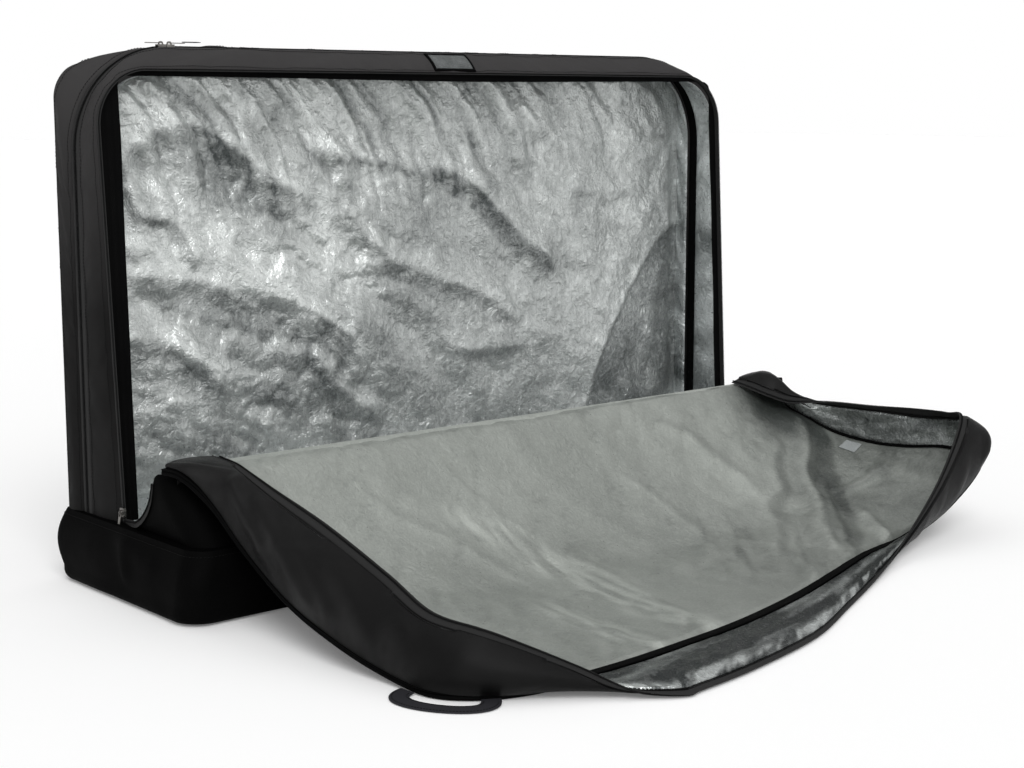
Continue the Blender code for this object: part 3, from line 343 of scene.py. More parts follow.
# Mesh making


def mesh_of(name: str, points: Array, faces: Array, uvs: Optional[Array] = None) -> Mesh:
    """A mesh of quads from whole arrays.

    Args:
        name: the mesh's name.
        points: rows of places.
        faces: rows of four point numbers.
        uvs: rows of four pairs, in metres of cloth, or nothing.

    Returns:
        The mesh, shaded smooth, with edges over 40 degrees left sharp.
    """
    mesh = bpy.data.meshes.new(name)
    count = len(faces)
    mesh.vertices.add(len(points))
    mesh.vertices.foreach_set("co", np.ascontiguousarray(points, dtype=np.float32).ravel())
    mesh.loops.add(4 * count)
    mesh.loops.foreach_set("vertex_index", np.ascontiguousarray(faces, dtype=np.int32).ravel())
    mesh.polygons.add(count)
    mesh.polygons.foreach_set("loop_start", np.arange(count, dtype=np.int32) * 4)
    if uvs is not None:
        layer = mesh.uv_layers.new(name="cloth")
        layer.data.foreach_set("uv", np.ascontiguousarray(uvs, dtype=np.float32).ravel())
    mesh.update(calc_edges=True)
    mesh.validate()
    mesh.shade_smooth()
    mesh.set_sharp_from_angle(angle=SHARP_EDGE)
    return mesh


def placed(name: str, data: bpy.types.ID) -> Thing:
    """An object for a mesh, a light or a camera, in the scene."""
    thing = bpy.data.objects.new(name, data)
    bpy.context.scene.collection.objects.link(thing)
    return thing


def finished(name: str, mesh: Mesh, finish: "Finish") -> Thing:
    """An object for the mesh, with its finish."""
    mesh.materials.append(finish.material())
    return placed(name, mesh)


def slab_faces(rows: int, columns: int, wrap: bool) -> Array:
    """Quads of the closed body between two like grids.

    Args:
        rows: rows of each grid.
        columns: columns of each grid.
        wrap: whether the last row joins the first.

    Returns:
        For each quad, four grid places (row, column, layer).
    """
    spans = rows if wrap else rows - 1
    r, c = np.meshgrid(np.arange(spans), np.arange(columns - 1), indexing="ij")
    r, c = r.ravel(), c.ravel()
    zero, one = np.zeros_like(r), np.ones_like(r)

    def quads(*corners: tuple[Array, Array, Array]) -> Array:
        """Four corners, each of row, column and layer, as one block."""
        return np.stack([np.stack(corner, axis=-1) for corner in corners], axis=1)

    blocks = [quads((r, c, zero), (r + 1, c, zero), (r + 1, c + 1, zero), (r, c + 1, zero)),
              quads((r, c, one), (r, c + 1, one), (r + 1, c + 1, one), (r + 1, c, one))]
    r = np.arange(spans)
    zero, one = np.zeros_like(r), np.ones_like(r)
    last = zero + columns - 1
    blocks += [quads((r, zero, zero), (r, zero, one), (r + 1, zero, one), (r + 1, zero, zero)),
               quads((r, last, zero), (r + 1, last, zero), (r + 1, last, one), (r, last, one))]
    if not wrap:
        c = np.arange(columns - 1)
        zero, one = np.zeros_like(c), np.ones_like(c)
        last = zero + rows - 1
        blocks += [quads((zero, c, zero), (zero, c + 1, zero), (zero, c + 1, one), (zero, c, one)),
                   quads((last, c, zero), (last, c, one), (last, c + 1, one), (last, c + 1, zero))]
    return np.concatenate(blocks)


def slab(name: str, front: Array, back: Array, finish: "Finish", wrap: bool = False,
         tone: Optional[Array] = None) -> Thing:
    """The closed body between two grids of like size.

    Args:
        name: the piece's name.
        front: the grid on the outer side, rows x columns x 3.
        back: the grid on the inner side.
        finish: its finish.
        wrap: whether the last row joins the first.
        tone: a shade for each grid point, kept as the attribute "tone".

    Returns:
        The piece, its faces outwards, with a UV map in metres of cloth.
    """
    rows, columns = front.shape[:2]
    places = slab_faces(rows, columns, wrap)
    numbers = places[..., 2] * rows * columns + (places[..., 0] % rows) * columns + places[..., 1]
    middle = front[:, columns // 2]
    along = arc_lengths(np.vstack([middle, middle[:1]]) if wrap else middle)
    if not wrap:
        along = np.append(along, along[-1])
    across = arc_lengths(front[rows // 2])
    uvs = np.stack([along[places[..., 0]], across[places[..., 1]]], axis=-1)
    points = np.concatenate([front.reshape(-1, 3), back.reshape(-1, 3)])
    facing = np.sum(np.cross(np.gradient(front, axis=0), np.gradient(front, axis=1)) * (front - back))
    if facing < 0:
        numbers, uvs = numbers[:, ::-1], uvs[:, ::-1]
    mesh = mesh_of(name, points, numbers, uvs)
    if tone is not None:
        layer = mesh.attributes.new("tone", "FLOAT", "POINT")
        layer.data.foreach_set("value", np.tile(tone.ravel(), 2).astype(np.float32))
    return finished(name, mesh, finish)


def tube_faces(count: int, sides: int) -> tuple[Array, Array, Array]:
    """Quads between rings of points.

    Args:
        count: how many rings.
        sides: points on each.

    Returns:
        The ring and the side of each quad, and its four point numbers.
    """
    r, s = np.meshgrid(np.arange(count - 1), np.arange(sides), indexing="ij")
    r, s = r.ravel(), s.ravel()
    beside = (s + 1) % sides
    faces = [r * sides + s, r * sides + beside, (r + 1) * sides + beside, (r + 1) * sides + s]
    return r, s, np.stack(faces, axis=1)


def swept(name: str, line: Array, across: Array, away: Array, profile: Array, finish: "Finish") -> Thing:
    """A closed profile carried along a line: point = line + p across + q away.

    Args:
        name: the piece's name.
        line: places along the way.
        across: the direction of the profile's first number at each place.
        away: the direction of its second number.
        profile: pairs (p, q) round the profile, or one set of pairs for each place.
        finish: its finish.

    Returns:
        The piece, with both ends closed.
    """
    shape = np.broadcast_to(profile, (len(line),) + profile.shape[-2:])
    rings = line[:, None] + shape[..., :1] * across[:, None] + shape[..., 1:] * away[:, None]
    count, sides = rings.shape[:2]
    r, s, faces = tube_faces(count, sides)
    along = arc_lengths(line)
    around = arc_lengths(np.vstack([rings[count // 2], rings[count // 2][:1]]))
    uvs = np.stack([np.stack([along[row], around[side]], axis=1)
                    for row, side in ((r, s), (r, s + 1), (r + 1, s + 1), (r + 1, s))], axis=1)
    half = sides // 2
    k = np.arange(half - 1 + sides % 2)
    caps = []
    for base, turned in ((0, False), ((count - 1) * sides, True)):
        cap = np.stack([base + k, base + k + 1, base + (sides - 2 - k), base + (sides - 1 - k)], axis=1)
        caps.append(cap[:, ::-1] if not turned else cap)
    uvs = np.concatenate([uvs, np.zeros((2 * len(k), 4, 2))])
    mesh = mesh_of(name, rings.reshape(-1, 3), np.concatenate([faces, *caps]), uvs)
    face_outwards(mesh)
    return finished(name, mesh, finish)


def face_outwards(mesh: Mesh, merge: float = 0.0) -> None:
    """Merge doubles if asked, then turn the faces of closed bodies to point outwards.

    Args:
        mesh: the mesh, changed in place.
        merge: the distance under which points are one, or 0.
    """
    work = bmesh.new()
    work.from_mesh(mesh)
    if merge:
        bmesh.ops.remove_doubles(work, verts=work.verts, dist=merge)
    bmesh.ops.recalc_face_normals(work, faces=work.faces)
    work.to_mesh(mesh)
    work.free()
    mesh.set_sharp_from_angle(angle=SHARP_EDGE)


def rounded_bar(width: float, height: float, sides: int = 10, squareness: float = 0.55) -> Array:
    """Pairs round a flat bar: a superellipse |p|^(2/n) + |q|^(2/n) = 1 with n the squareness.

    Args:
        width: the bar's width.
        height: its thickness.
        sides: how many points.
        squareness: 1 for an ellipse, less for a squarer bar.

    Returns:
        Rows of (p, q).
    """
    angle = (np.arange(sides) + 0.5) * math.tau / sides
    cos, sin = np.cos(angle), np.sin(angle)
    return np.column_stack([width / 2 * np.sign(cos) * np.abs(cos) ** squareness,
                            height / 2 * np.sign(sin) * np.abs(sin) ** squareness])


def repeated(name: str, shape: tuple[Array, Array], origins: Array, along: Array, across: Array,
             away: Array, finish: "Finish") -> Thing:
    """One small closed shape set down at many places, as a single mesh.

    Args:
        name: the piece's name.
        shape: its own places (along, across, away) and its quads.
        origins: a place for each copy.
        along: first direction at each copy.
        across: second direction.
        away: third direction.
        finish: its finish.

    Returns:
        The piece.
    """
    points, faces = shape
    spread = (origins[:, None] + points[None, :, :1] * along[:, None]
              + points[None, :, 1:2] * across[:, None] + points[None, :, 2:] * away[:, None])
    numbers = faces[None] + (np.arange(len(origins)) * len(points))[:, None, None]
    lengths = arc_lengths(origins)
    uvs = np.broadcast_to((points[faces][..., :2])[None], numbers.shape + (2,)).copy()
    uvs[..., 0] += lengths[:, None, None]
    mesh = mesh_of(name, spread.reshape(-1, 3), numbers.reshape(-1, 4), uvs.reshape(-1, 4, 2))
    face_outwards(mesh)
    return finished(name, mesh, finish)


def bead(length: float, width: float, height: float) -> tuple[Array, Array]:
    """A small closed bead along the first axis: four rings of four points, narrow at both ends.

    Args:
        length: its length.
        width: its width.
        height: its height.

    Returns:
        Its points and its quads.
    """
    at = np.array([-0.5, -0.3, 0.3, 0.5]) * length
    size = np.array([0.45, 1.0, 1.0, 0.45])
    turn = np.array([[0.5, 0.0], [0.0, 0.5], [-0.5, 0.0], [0.0, -0.5]])
    rings = np.concatenate([np.broadcast_to(at[:, None, None], (4, 4, 1)),
                            turn[None] * size[:, None, None] * np.array([width, height])], axis=-1)
    return rings.reshape(-1, 3), np.vstack([tube_faces(4, 4)[2], [[3, 2, 1, 0], [12, 13, 14, 15]]])


# Finishes


class NodePad:
    """A new material and short calls that add nodes to it."""

    def __init__(self, name: str) -> None:
        """Start a material with its principled shader.

        Args:
            name: the material's name.
        """
        self.material = bpy.data.materials.new(name)
        self.material.use_nodes = True
        self.tree = self.material.node_tree
        self.shader = self.tree.nodes["Principled BSDF"]

    def feed(self, node: Node, inputs: dict) -> Node:
        """Set or link each input of a node.

        Args:
            node: the node.
            inputs: values or sockets by the input's name or number.

        Returns:
            The same node.
        """
        for key, value in inputs.items():
            if isinstance(value, Socket):
                self.tree.links.new(value, node.inputs[key])
            else:
                node.inputs[key].default_value = value
        return node

    def add(self, kind: str, inputs: Optional[dict] = None, **settings: object) -> Node:
        """A new node.

        Args:
            kind: its type's name after ShaderNode.
            inputs: values or sockets for its inputs.
            settings: values for its other settings.

        Returns:
            The node.
        """
        node = self.tree.nodes.new("ShaderNode" + kind)
        for key, value in settings.items():
            setattr(node, key, value)
        return self.feed(node, inputs or {})

    def uv(self) -> Socket:
        """The piece's own cloth coordinates, in metres."""
        return self.add("UVMap", uv_map="cloth").outputs["UV"]

    def place(self) -> Socket:
        """Object coordinates, which are the frame's metres."""
        return self.add("TexCoord").outputs["Object"]

    def stretched(self, where: Socket, z: float) -> Socket:
        """Coordinates with their height scaled."""
        return self.add("Mapping", {"Vector": where, "Scale": (1.0, 1.0, z)}).outputs["Vector"]

    def noise(self, where: Socket, scale: float, detail: float = 3.0, rough: float = 0.5) -> Socket:
        """Plain noise in 0..1."""
        return self.add("TexNoise", {"Vector": where, "Scale": scale, "Detail": detail,
                                     "Roughness": rough}).outputs["Fac"]

    def ranged(self, value: Socket, low: float, high: float, to_low: float, to_high: float) -> Socket:
        """A value moved from one range to another."""
        return self.add("MapRange", {"Value": value, "From Min": low, "From Max": high,
                                     "To Min": to_low, "To Max": to_high}).outputs["Result"]

    def mixed(self, share: Socket | float, first: Socket | Triple, second: Socket | Triple,
              blend: str = "MIX") -> Socket:
        """Two colours mixed.

        Args:
            share: how much of the second.
            first: a colour or a socket.
            second: a colour or a socket.
            blend: how they are mixed.

        Returns:
            The mixed colour.
        """
        pair = [value if isinstance(value, Socket) else (*value, 1.0) for value in (first, second)]
        return self.add("MixRGB", {"Fac": share, "Color1": pair[0], "Color2": pair[1]},
                        blend_type=blend).outputs["Color"]

    def maths(self, operation: str, first: Socket | float, second: Socket | float = 0.0) -> Socket:
        """One sum, product or the like."""
        return self.add("Math", {0: first, 1: second}, operation=operation).outputs["Value"]

    def vector(self, operation: str, first: Socket, second: Socket | Triple = (0.0, 0.0, 0.0)) -> Socket:
        """One sum, product or the like of two vectors."""
        return self.add("VectorMath", {0: first, 1: second}, operation=operation).outputs["Vector"]

    def bump(self, height: Socket, distance: float, strength: float = 1.0,
             normal: Optional[Socket] = None) -> Socket:
        """A bump, laid over an earlier one if given.

        Args:
            height: the relief in 0..1.
            distance: its height in metres.
            strength: how much of it shows.
            normal: the earlier bump.

        Returns:
            The bumped normal.
        """
        inputs = {"Height": height, "Distance": distance, "Strength": strength}
        if normal is not None:
            inputs["Normal"] = normal
        return self.add("Bump", inputs).outputs["Normal"]

    def threads(self, where: Socket, spacing: float, across: float = 1.0) -> Socket:
        """Plain weave: the product of two wave patterns at right angles, one period a thread pair.

        Args:
            where: cloth coordinates.
            spacing: the distance between warp threads.
            across: the distance between weft threads as a share of it.

        Returns:
            The weave in 0..1.
        """
        turn = 0.314159
        warp, weft = (self.add("TexWave", {"Vector": where, "Scale": turn / gap}, bands_direction=way)
                      for gap, way in ((spacing, "X"), (spacing * across, "Y")))
        return self.maths("MULTIPLY", warp.outputs["Fac"], weft.outputs["Fac"])


@dataclass(frozen=True)
class WovenFinish:
    """Woven cloth or tape: threads in the bump, painted shade between the threads, a soft fading in the
    colour, painted light towards the top if asked, a little sheen.
    """

    name: str
    colour: Triple
    faded_and_lit: Triple
    roughness: float
    thread: float
    thread_depth: float
    sheen: float = 0.1
    specular: float = 0.4
    thread_ratio: float = 1.0
    crease_depth: float = 0.0008
    crease_scale: float = 22.0
    top_light_gain: float = 0.0
    top_light_span: Pair = (0.4, 0.78)

    def make(self) -> Material:
        """Make the material.

        Returns:
            The material; if asked, painted light is added over the span of heights: its second colour, scaled
            up, so that the cloth is lighter towards the top.
        """
        pad = NodePad(self.name)
        cloth, place = pad.uv(), pad.place()
        weave = pad.threads(cloth, self.thread, self.thread_ratio)
        fading = pad.ranged(pad.noise(place, 5.5, 5.0, 0.6), 0.3, 0.7, 0.0, 1.0)
        tint = pad.mixed(fading, self.colour, self.faded_and_lit)
        # Painted shade: the colour darkens in the weave's hollows between the threads, where the bump is low.
        darker = tuple(part * 0.62 for part in self.colour)
        colour = pad.mixed(pad.ranged(weave, 0.0, 0.5, 0.55, 0.0), tint, darker)
        # Painted light: a colour that grows with height is added, so that the cloth is lighter towards the
        # top.
        if self.top_light_gain:
            share = pad.ranged(pad.add("SeparateXYZ", {0: place}).outputs["Z"], *self.top_light_span, 0.0, 1.0)
            painted_top_light = pad.mixed(share, (0.0, 0.0, 0.0), tuple(part * self.top_light_gain for part in self.faded_and_lit))
            colour = pad.mixed(1.0, colour, painted_top_light, "ADD")
        low, high = self.roughness - 0.07, self.roughness + 0.07
        rough = pad.ranged(pad.noise(place, 14.0, 4.0), 0.3, 0.7, low, high)
        creases = pad.noise(place, self.crease_scale, 4.0, 0.55)
        normal = pad.bump(creases, self.crease_depth, 0.6)
        normal = pad.bump(weave, self.thread_depth, 0.8, normal)
        pad.feed(pad.shader, {"Base Color": colour, "Roughness": rough, "Normal": normal,
                              "Sheen Weight": self.sheen, "Sheen Roughness": 0.5,
                              "Specular IOR Level": self.specular})
        return pad.material


@dataclass(frozen=True)
class FilmFinish:
    """Metallised lining: a thin film on cloth, in small flat facets; the piece's tone attribute moves its
    colour towards a dark shade and carries painted shade and painted highlights.
    """

    name: str
    colour: Triple
    shaded: Triple
    metallic: float
    roughness: float
    facet: float
    tilt: float
    wrinkle_depth: float
    patch: float = 0.12
    speck: float = 0.03
    crinkle: float = 0.0

    def facets(self, pad: NodePad, where: Socket) -> tuple[Socket, Socket]:
        """Cells of three sizes, each tilted its own way: normal = face + sum of tilt (random - 0.5).

        Args:
            pad: the material in the making.
            where: the coordinates to cut into cells.

        Returns:
            The normal, and the random colours of the middle cells.
        """
        normal, colours = pad.add("NewGeometry").outputs["Normal"], []
        for scale, share in ((1.0, 1.0), (2.3, 0.8), (5.0, 0.6)):
            cell = pad.add("TexVoronoi", {"Vector": where, "Scale": self.facet * scale}, feature="F1")
            colours.append(cell.outputs["Color"])
            centred = pad.vector("SUBTRACT", colours[-1], (0.5, 0.5, 0.5))
            normal = pad.vector("ADD", normal, pad.vector("MULTIPLY", centred, (self.tilt * share,) * 3))
        return pad.vector("NORMALIZE", normal), colours[1]

    def crinkled(self, pad: NodePad, where: Socket, tone: Socket, normal: Socket) -> tuple[Socket, Socket]:
        """Fine creases of two sizes, |noise - 0.5|, with painted shade in their lines and painted highlights
        on their ridges, and faint upright strands.

        Args:
            pad: the material in the making.
            where: coordinates for the creases.
            tone: the shade so far.
            normal: the normal so far.

        Returns:
            The new shade and normal.
        """
        for scale, depth, tint in ((70.0, 1.0, 23.0), (170.0, 0.42, 19.0)):
            ridge = pad.maths("ABSOLUTE", pad.maths("SUBTRACT", pad.noise(where, scale, 3.0, 0.55), 0.5))
            normal = pad.bump(ridge, self.crinkle * depth, 1.0, normal)
            # Painted shade in the crease lines and painted highlight on the ridges, following the bump.
            light = tint * self.crinkle
            tone = pad.maths("ADD", tone, pad.ranged(ridge, 0.0, 0.22, light, -light))
        strand = pad.noise(pad.stretched(pad.place(), 0.1), 330.0, 2.0, 0.5)
        tone = pad.maths("ADD", tone, pad.ranged(strand, 0.3, 0.7, -0.05, 0.05))
        return pad.add("Clamp", {"Value": tone}).outputs["Result"], normal

    def make(self) -> Material:
        """Make the material.

        Returns:
            The material; the piece's tone attribute moves it from colour to shaded, and so carries painted
            shade and painted highlights into the colour.
        """
        pad = NodePad(self.name)
        cloth, place = pad.uv(), pad.place()
        drift = pad.add("TexNoise", {"Vector": place, "Scale": 34.0, "Detail": 3.0}).outputs["Color"]
        where = pad.vector("ADD", place, pad.vector("MULTIPLY", drift, (0.02, 0.02, 0.02)))
        normal, cells = self.facets(pad, where)
        # Painted shade and painted highlights come in with this attribute.
        tone = pad.add("Attribute", attribute_name="tone").outputs["Fac"]
        patch = pad.ranged(pad.noise(where, 26.0, 6.0, 0.68), 0.3, 0.7, -self.patch, self.patch)
        red = pad.add("SeparateColor", {0: cells}).outputs[0]
        speck = pad.ranged(red, 0.0, 1.0, -self.speck, self.speck)
        tone = pad.maths("ADD", tone, pad.maths("ADD", patch, speck))
        tone = pad.add("Clamp", {"Value": tone}).outputs["Result"]
        fine = pad.noise(place, self.facet * 4.0, 4.0, 0.6)
        rough = pad.ranged(fine, 0.3, 0.7, self.roughness - 0.08, self.roughness + 0.1)
        normal = pad.bump(pad.noise(where, self.facet * 1.4, 3.0, 0.6), self.wrinkle_depth, 1.0, normal)
        if self.crinkle:
            tone, normal = self.crinkled(pad, where, tone, normal)
        normal = pad.bump(pad.threads(cloth, 0.0007), 0.00003, 0.4, normal)
        pad.feed(pad.shader, {"Base Color": pad.mixed(tone, self.colour, self.shaded), "Roughness": rough,
                              "Normal": normal, "Metallic": self.metallic, "Specular IOR Level": 0.5})
        return pad.material


@dataclass(frozen=True)
class SolidFinish:
    """Metal, plastic or card: small scratches in the roughness, a slight unevenness, no weave."""

    name: str
    colour: Triple
    worn: Triple
    roughness: float
    metallic: float = 0.0
    grain: float = 400.0
    grain_depth: float = 0.00005
    alpha: float = 1.0
    specular: float = 0.5

    def make(self) -> Material:
        """Make the material.

        Returns:
            The material.
        """
        pad = NodePad(self.name)
        place = pad.place()
        wear = pad.ranged(pad.noise(place, 60.0, 5.0, 0.6), 0.4, 0.7, 0.0, 1.0)
        scratch = pad.noise(pad.stretched(place, 6.0), self.grain, 2.0)
        pad.feed(pad.shader, {
            "Base Color": pad.mixed(wear, self.colour, self.worn),
            "Roughness": pad.ranged(scratch, 0.3, 0.7, self.roughness - 0.06, self.roughness + 0.1),
            "Normal": pad.bump(scratch, self.grain_depth, 0.5), "Metallic": self.metallic,
            "Alpha": self.alpha, "Specular IOR Level": self.specular})
        return pad.material


class Finish(Enum):
    """Every finish on the bag; each value is made into a material once."""

    # The two shell cloths carry painted light that makes them lighter towards the top.
    SHELL = WovenFinish("shell_nylon", (0.0067, 0.0065, 0.0065), (0.0112, 0.0108, 0.0109), 0.55, 0.0011,
                        0.00018, sheen=0.0, specular=0.07, top_light_gain=3.1)
    FLAP_SHELL = WovenFinish("flap_nylon", (0.0022, 0.0022, 0.0023), (0.0036, 0.0035, 0.0035), 0.38, 0.0011,
                             0.00018, sheen=0.0, specular=0.12, top_light_gain=1.6, top_light_span=(0.04, 0.2))
    BOOT = WovenFinish("boot_coated", (0.0016, 0.0016, 0.0017), (0.0027, 0.0027, 0.0027), 0.6, 0.0014,
                       0.00012, sheen=0.0, specular=0.015)
    TAPE = WovenFinish("zip_tape", (0.0016, 0.0016, 0.0017), (0.003, 0.003, 0.003), 0.72, 0.0008, 0.00012,
                       specular=0.02, thread_ratio=2.0, crease_depth=0.0003, sheen=0.0)
    BINDING = WovenFinish("grosgrain_binding", (0.0018, 0.0018, 0.0019), (0.0034, 0.0034, 0.0034), 0.7,
                          0.0012, 0.00022, specular=0.03, thread_ratio=3.0, crease_depth=0.0004, sheen=0.0)
    WEBBING = WovenFinish("webbing", (0.006, 0.006, 0.0064), (0.0105, 0.0105, 0.0105), 0.7, 0.002, 0.0004,
                          specular=0.2, thread_ratio=1.6, crease_depth=0.0003, sheen=0.02)
    THREAD = WovenFinish("sewing_thread", (0.0035, 0.0035, 0.0036), (0.006, 0.006, 0.006), 0.65, 0.0006,
                         0.00008, crease_depth=0.0, sheen=0.0, specular=0.1)
    LABEL = WovenFinish("label_satin", (0.28, 0.3, 0.3), (0.35, 0.37, 0.37), 0.45, 0.0005, 0.00005,
                        sheen=0.2, thread_ratio=1.5, crease_depth=0.0002)
    SILVER = FilmFinish("silver_film", (0.8, 0.83, 0.815), (0.09, 0.1, 0.1), 0.62, 0.33, 85.0, 0.13, 0.0012,
                        patch=0.05, speck=0.025, crinkle=0.0038)
    SIDE_SILVER = FilmFinish("silver_film_side", (0.74, 0.77, 0.77), (0.06, 0.07, 0.07), 0.72, 0.32, 50.0,
                             0.09, 0.0009, patch=0.1, speck=0.01, crinkle=0.0034)
    FLAP_FILM = FilmFinish("flap_film", (0.47, 0.495, 0.46), (0.05, 0.056, 0.052), 0.48, 0.35, 55.0, 0.035,
                           0.0005, 0.04, 0.006, crinkle=0.0014)
    GUSSET_FILM = FilmFinish("gusset_film", (0.62, 0.65, 0.64), (0.035, 0.04, 0.04), 0.7, 0.3, 40.0, 0.1,
                             0.0012, 0.08, 0.015, crinkle=0.003)
    COIL = SolidFinish("zip_coil_plastic", (0.003, 0.003, 0.0032), (0.006, 0.006, 0.006), 0.5, specular=0.08)
    NICKEL = SolidFinish("nickel", (0.23, 0.22, 0.205), (0.15, 0.14, 0.135), 0.36, metallic=1.0)
    BOARD = SolidFinish("stiffener_board", (0.05, 0.05, 0.05), (0.08, 0.08, 0.08), 0.6, grain=900.0)
    CARD = SolidFinish("name_card", (0.075, 0.08, 0.08), (0.035, 0.038, 0.038), 0.6)
    CLEAR = SolidFinish("clear_vinyl", (0.3, 0.32, 0.32), (0.2, 0.22, 0.22), 0.22, alpha=0.1, grain=60.0,
                        grain_depth=0.0016, specular=0.25)

    def material(self) -> Material:
        """The one material of this finish."""
        return bpy.data.materials.get(self.value.name) or self.value.make()


# The cutting pattern


@dataclass(frozen=True)
class Cut:
    """Main sizes of the bag, as its solids have them, in metres."""

    width: float = 1.3
    depth: float = 0.355
    height: float = 0.78
    boot_height: float = 0.105
    gap: float = 0.0003
    cloth: float = 0.0012
    foam: float = 0.006
    lining: float = 0.0008
    gusset_foam: float = 0.003
    tape: float = 0.0008
    binding: float = 0.0012
    coil_height: float = 0.0026
    rim_half: float = 0.634
    back_half: float = 0.643
    middle_half: float = 0.637
    mouth_foot_half: float = 0.628
    mouth_top_half: float = 0.631
    back_top: float = 0.774
    mouth_top: float = 0.746
    middle_y: float = 0.129
    mouth_foot_y: float = 0.0325
    mouth_top_y: float = 0.0695
    middle_tape: float = 0.024
    mouth_tape: float = 0.01
    fold_height: float = 0.206
    fold_y: float = -0.117
    flap_half: float = 0.65

    @property
    def wall(self) -> float:
        """Cloth, foam and lining with their two gaps."""
        return self.cloth + self.foam + self.lining + 2 * self.gap

    @property
    def gusset_wall(self) -> float:
        """The flap gusset's three layers with their gaps."""
        return self.cloth + self.gusset_foam + self.lining + 2 * self.gap

    @property
    def foot(self) -> float:
        """Height at which the upper shell starts."""
        return self.boot_height + self.gap

    @property
    def back_y(self) -> float:
        """The outer face of the back panel."""
        return self.depth / 2

    @property
    def padding(self) -> float:
        """Thickness of outer cloth and foam together."""
        return self.cloth + self.gap + self.foam


CUT = Cut()


@dataclass(frozen=True)
class Arch:
    """One arch of the upper shell, from the left foot over the top to the right foot."""

    foot_half: float
    top_half: float
    top: float
    radius: float
    foot_y: float
    top_y: float
    droop: float = 0.0
    legs: int = 110
    arcs: int = 26
    tops: int = 190

    def sunk(self, places: Array) -> Array:
        """Places lowered towards the upper corners, where the cloth sags.

        The drop is the droop times eased shares of |x| near the corner and of z over the
        300 mm from 450 mm up.

        Args:
            places: any array of places.

        Returns:
            The lowered places.
        """
        drop = self.droop * eased((np.abs(places[..., 0]) - self.top_half + 0.22) / 0.2) * eased(
            (places[..., 2] - 0.45) / 0.3)
        return places - drop[..., None] * UP

    def outline(self, inset: float = 0.0, behind: float = 0.0) -> Array:
        """The arch's line: straight legs, round corners, straight top, drawn in by the inset.

        A leg is foot + s (corner start - foot); a corner is centre - r (cos a, -sin a) in the
        plane of X and Z; the depth goes from the foot's to the top's with the height's share.

        Args:
            inset: how far the line lies inside the outer face.
            behind: how far it lies behind the arch's own depth.

        Returns:
            Rows of places.
        """
        rise = np.array([self.foot_half - self.top_half, self.top - CUT.foot])
        leg = rise / np.linalg.norm(rise)
        tilt = math.atan2(leg[0], leg[1])
        start = np.array([-self.top_half, self.top]) - leg * self.radius * math.tan((math.pi / 2 - tilt) / 2)
        centre = start + np.array([math.cos(tilt), -math.sin(tilt)]) * self.radius
        foot = np.array([-self.foot_half, CUT.foot])
        legs = foot + (start - foot) * (np.arange(self.legs) / self.legs)[:, None]
        angle = np.linspace(tilt, math.pi / 2, self.arcs + 1)
        arc_normals = np.column_stack([np.cos(angle), -np.sin(angle)])
        left = np.vstack([legs, centre - self.radius * arc_normals])
        normals = np.vstack([np.tile(arc_normals[0], (self.legs, 1)), arc_normals])
        top_x = np.linspace(left[-1, 0], -left[-1, 0], self.tops + 1)[1:-1]
        tops = np.column_stack([top_x, np.full_like(top_x, self.top)])
        flip = np.array([-1.0, 1.0])
        line = np.vstack([left, tops, left[::-1] * flip])
        inward = np.vstack([normals, np.tile([0.0, -1.0], (len(tops), 1)), normals[::-1] * flip])
        moved = line + inward * inset
        moved[0] = line[0] + np.array([inset / math.cos(tilt), 0.0])
        moved[-1] = line[-1] - np.array([inset / math.cos(tilt), 0.0])
        share = (line[:, 1] - CUT.foot) / (self.top - CUT.foot)
        y = self.foot_y + (self.top_y - self.foot_y) * share + behind
        return self.sunk(np.column_stack([moved[:, 0], y, moved[:, 1]]))


    def grid(self, insets: Array | float, depths: Array | float) -> Array:
        """A grid with the outline at each pair of inset and depth as a column."""
        pairs = zip(*np.broadcast_arrays(insets, depths))
        return np.stack([self.outline(inset, depth) for inset, depth in pairs], axis=1)

    def tape(self, name: str, node: str, depths: Array, lift: Array) -> Thing:
        """A zip's tape along the arch.

        Args:
            name: the piece's name.
            node: the CAD node that it stands for.
            depths: places across the tape.
            lift: how far its face stands out at each of them.

        Returns:
            The piece.
        """
        face, hidden = self.grid(CUT.gap - lift, depths), self.grid(CUT.gap + CUT.tape, depths)
        return dressed(slab(name, face, hidden, Finish.TAPE), "shell", "zip_tape", node)

    def teeth(self, name: str, depth: float, width: float) -> Thing:
        """One side of a coil along the arch, facing away from the bag."""
        away = unit(self.outline(-0.01) - self.outline())
        across = np.tile(BACKWARDS, (len(away), 1))
        return zip_teeth(name, self.outline(0.0, depth), across, away, width, "shell")


BACK = Arch(CUT.back_half, CUT.back_half, CUT.back_top, 0.052, 0.0, 0.0, droop=0.017)
MIDDLE = Arch(CUT.middle_half, CUT.middle_half, CUT.height, 0.15, CUT.middle_y, CUT.middle_y)
MOUTH = Arch(CUT.mouth_foot_half, CUT.mouth_top_half, CUT.mouth_top, 0.08, CUT.mouth_foot_y, CUT.mouth_top_y)


def outward(grid: Array, inside: Array) -> Array:
    """Unit normals of a grid, turned away from a place inside the bag."""
    normals = grid_normals(grid)
    return normals * np.sign(np.sum(normals * (grid - inside)))


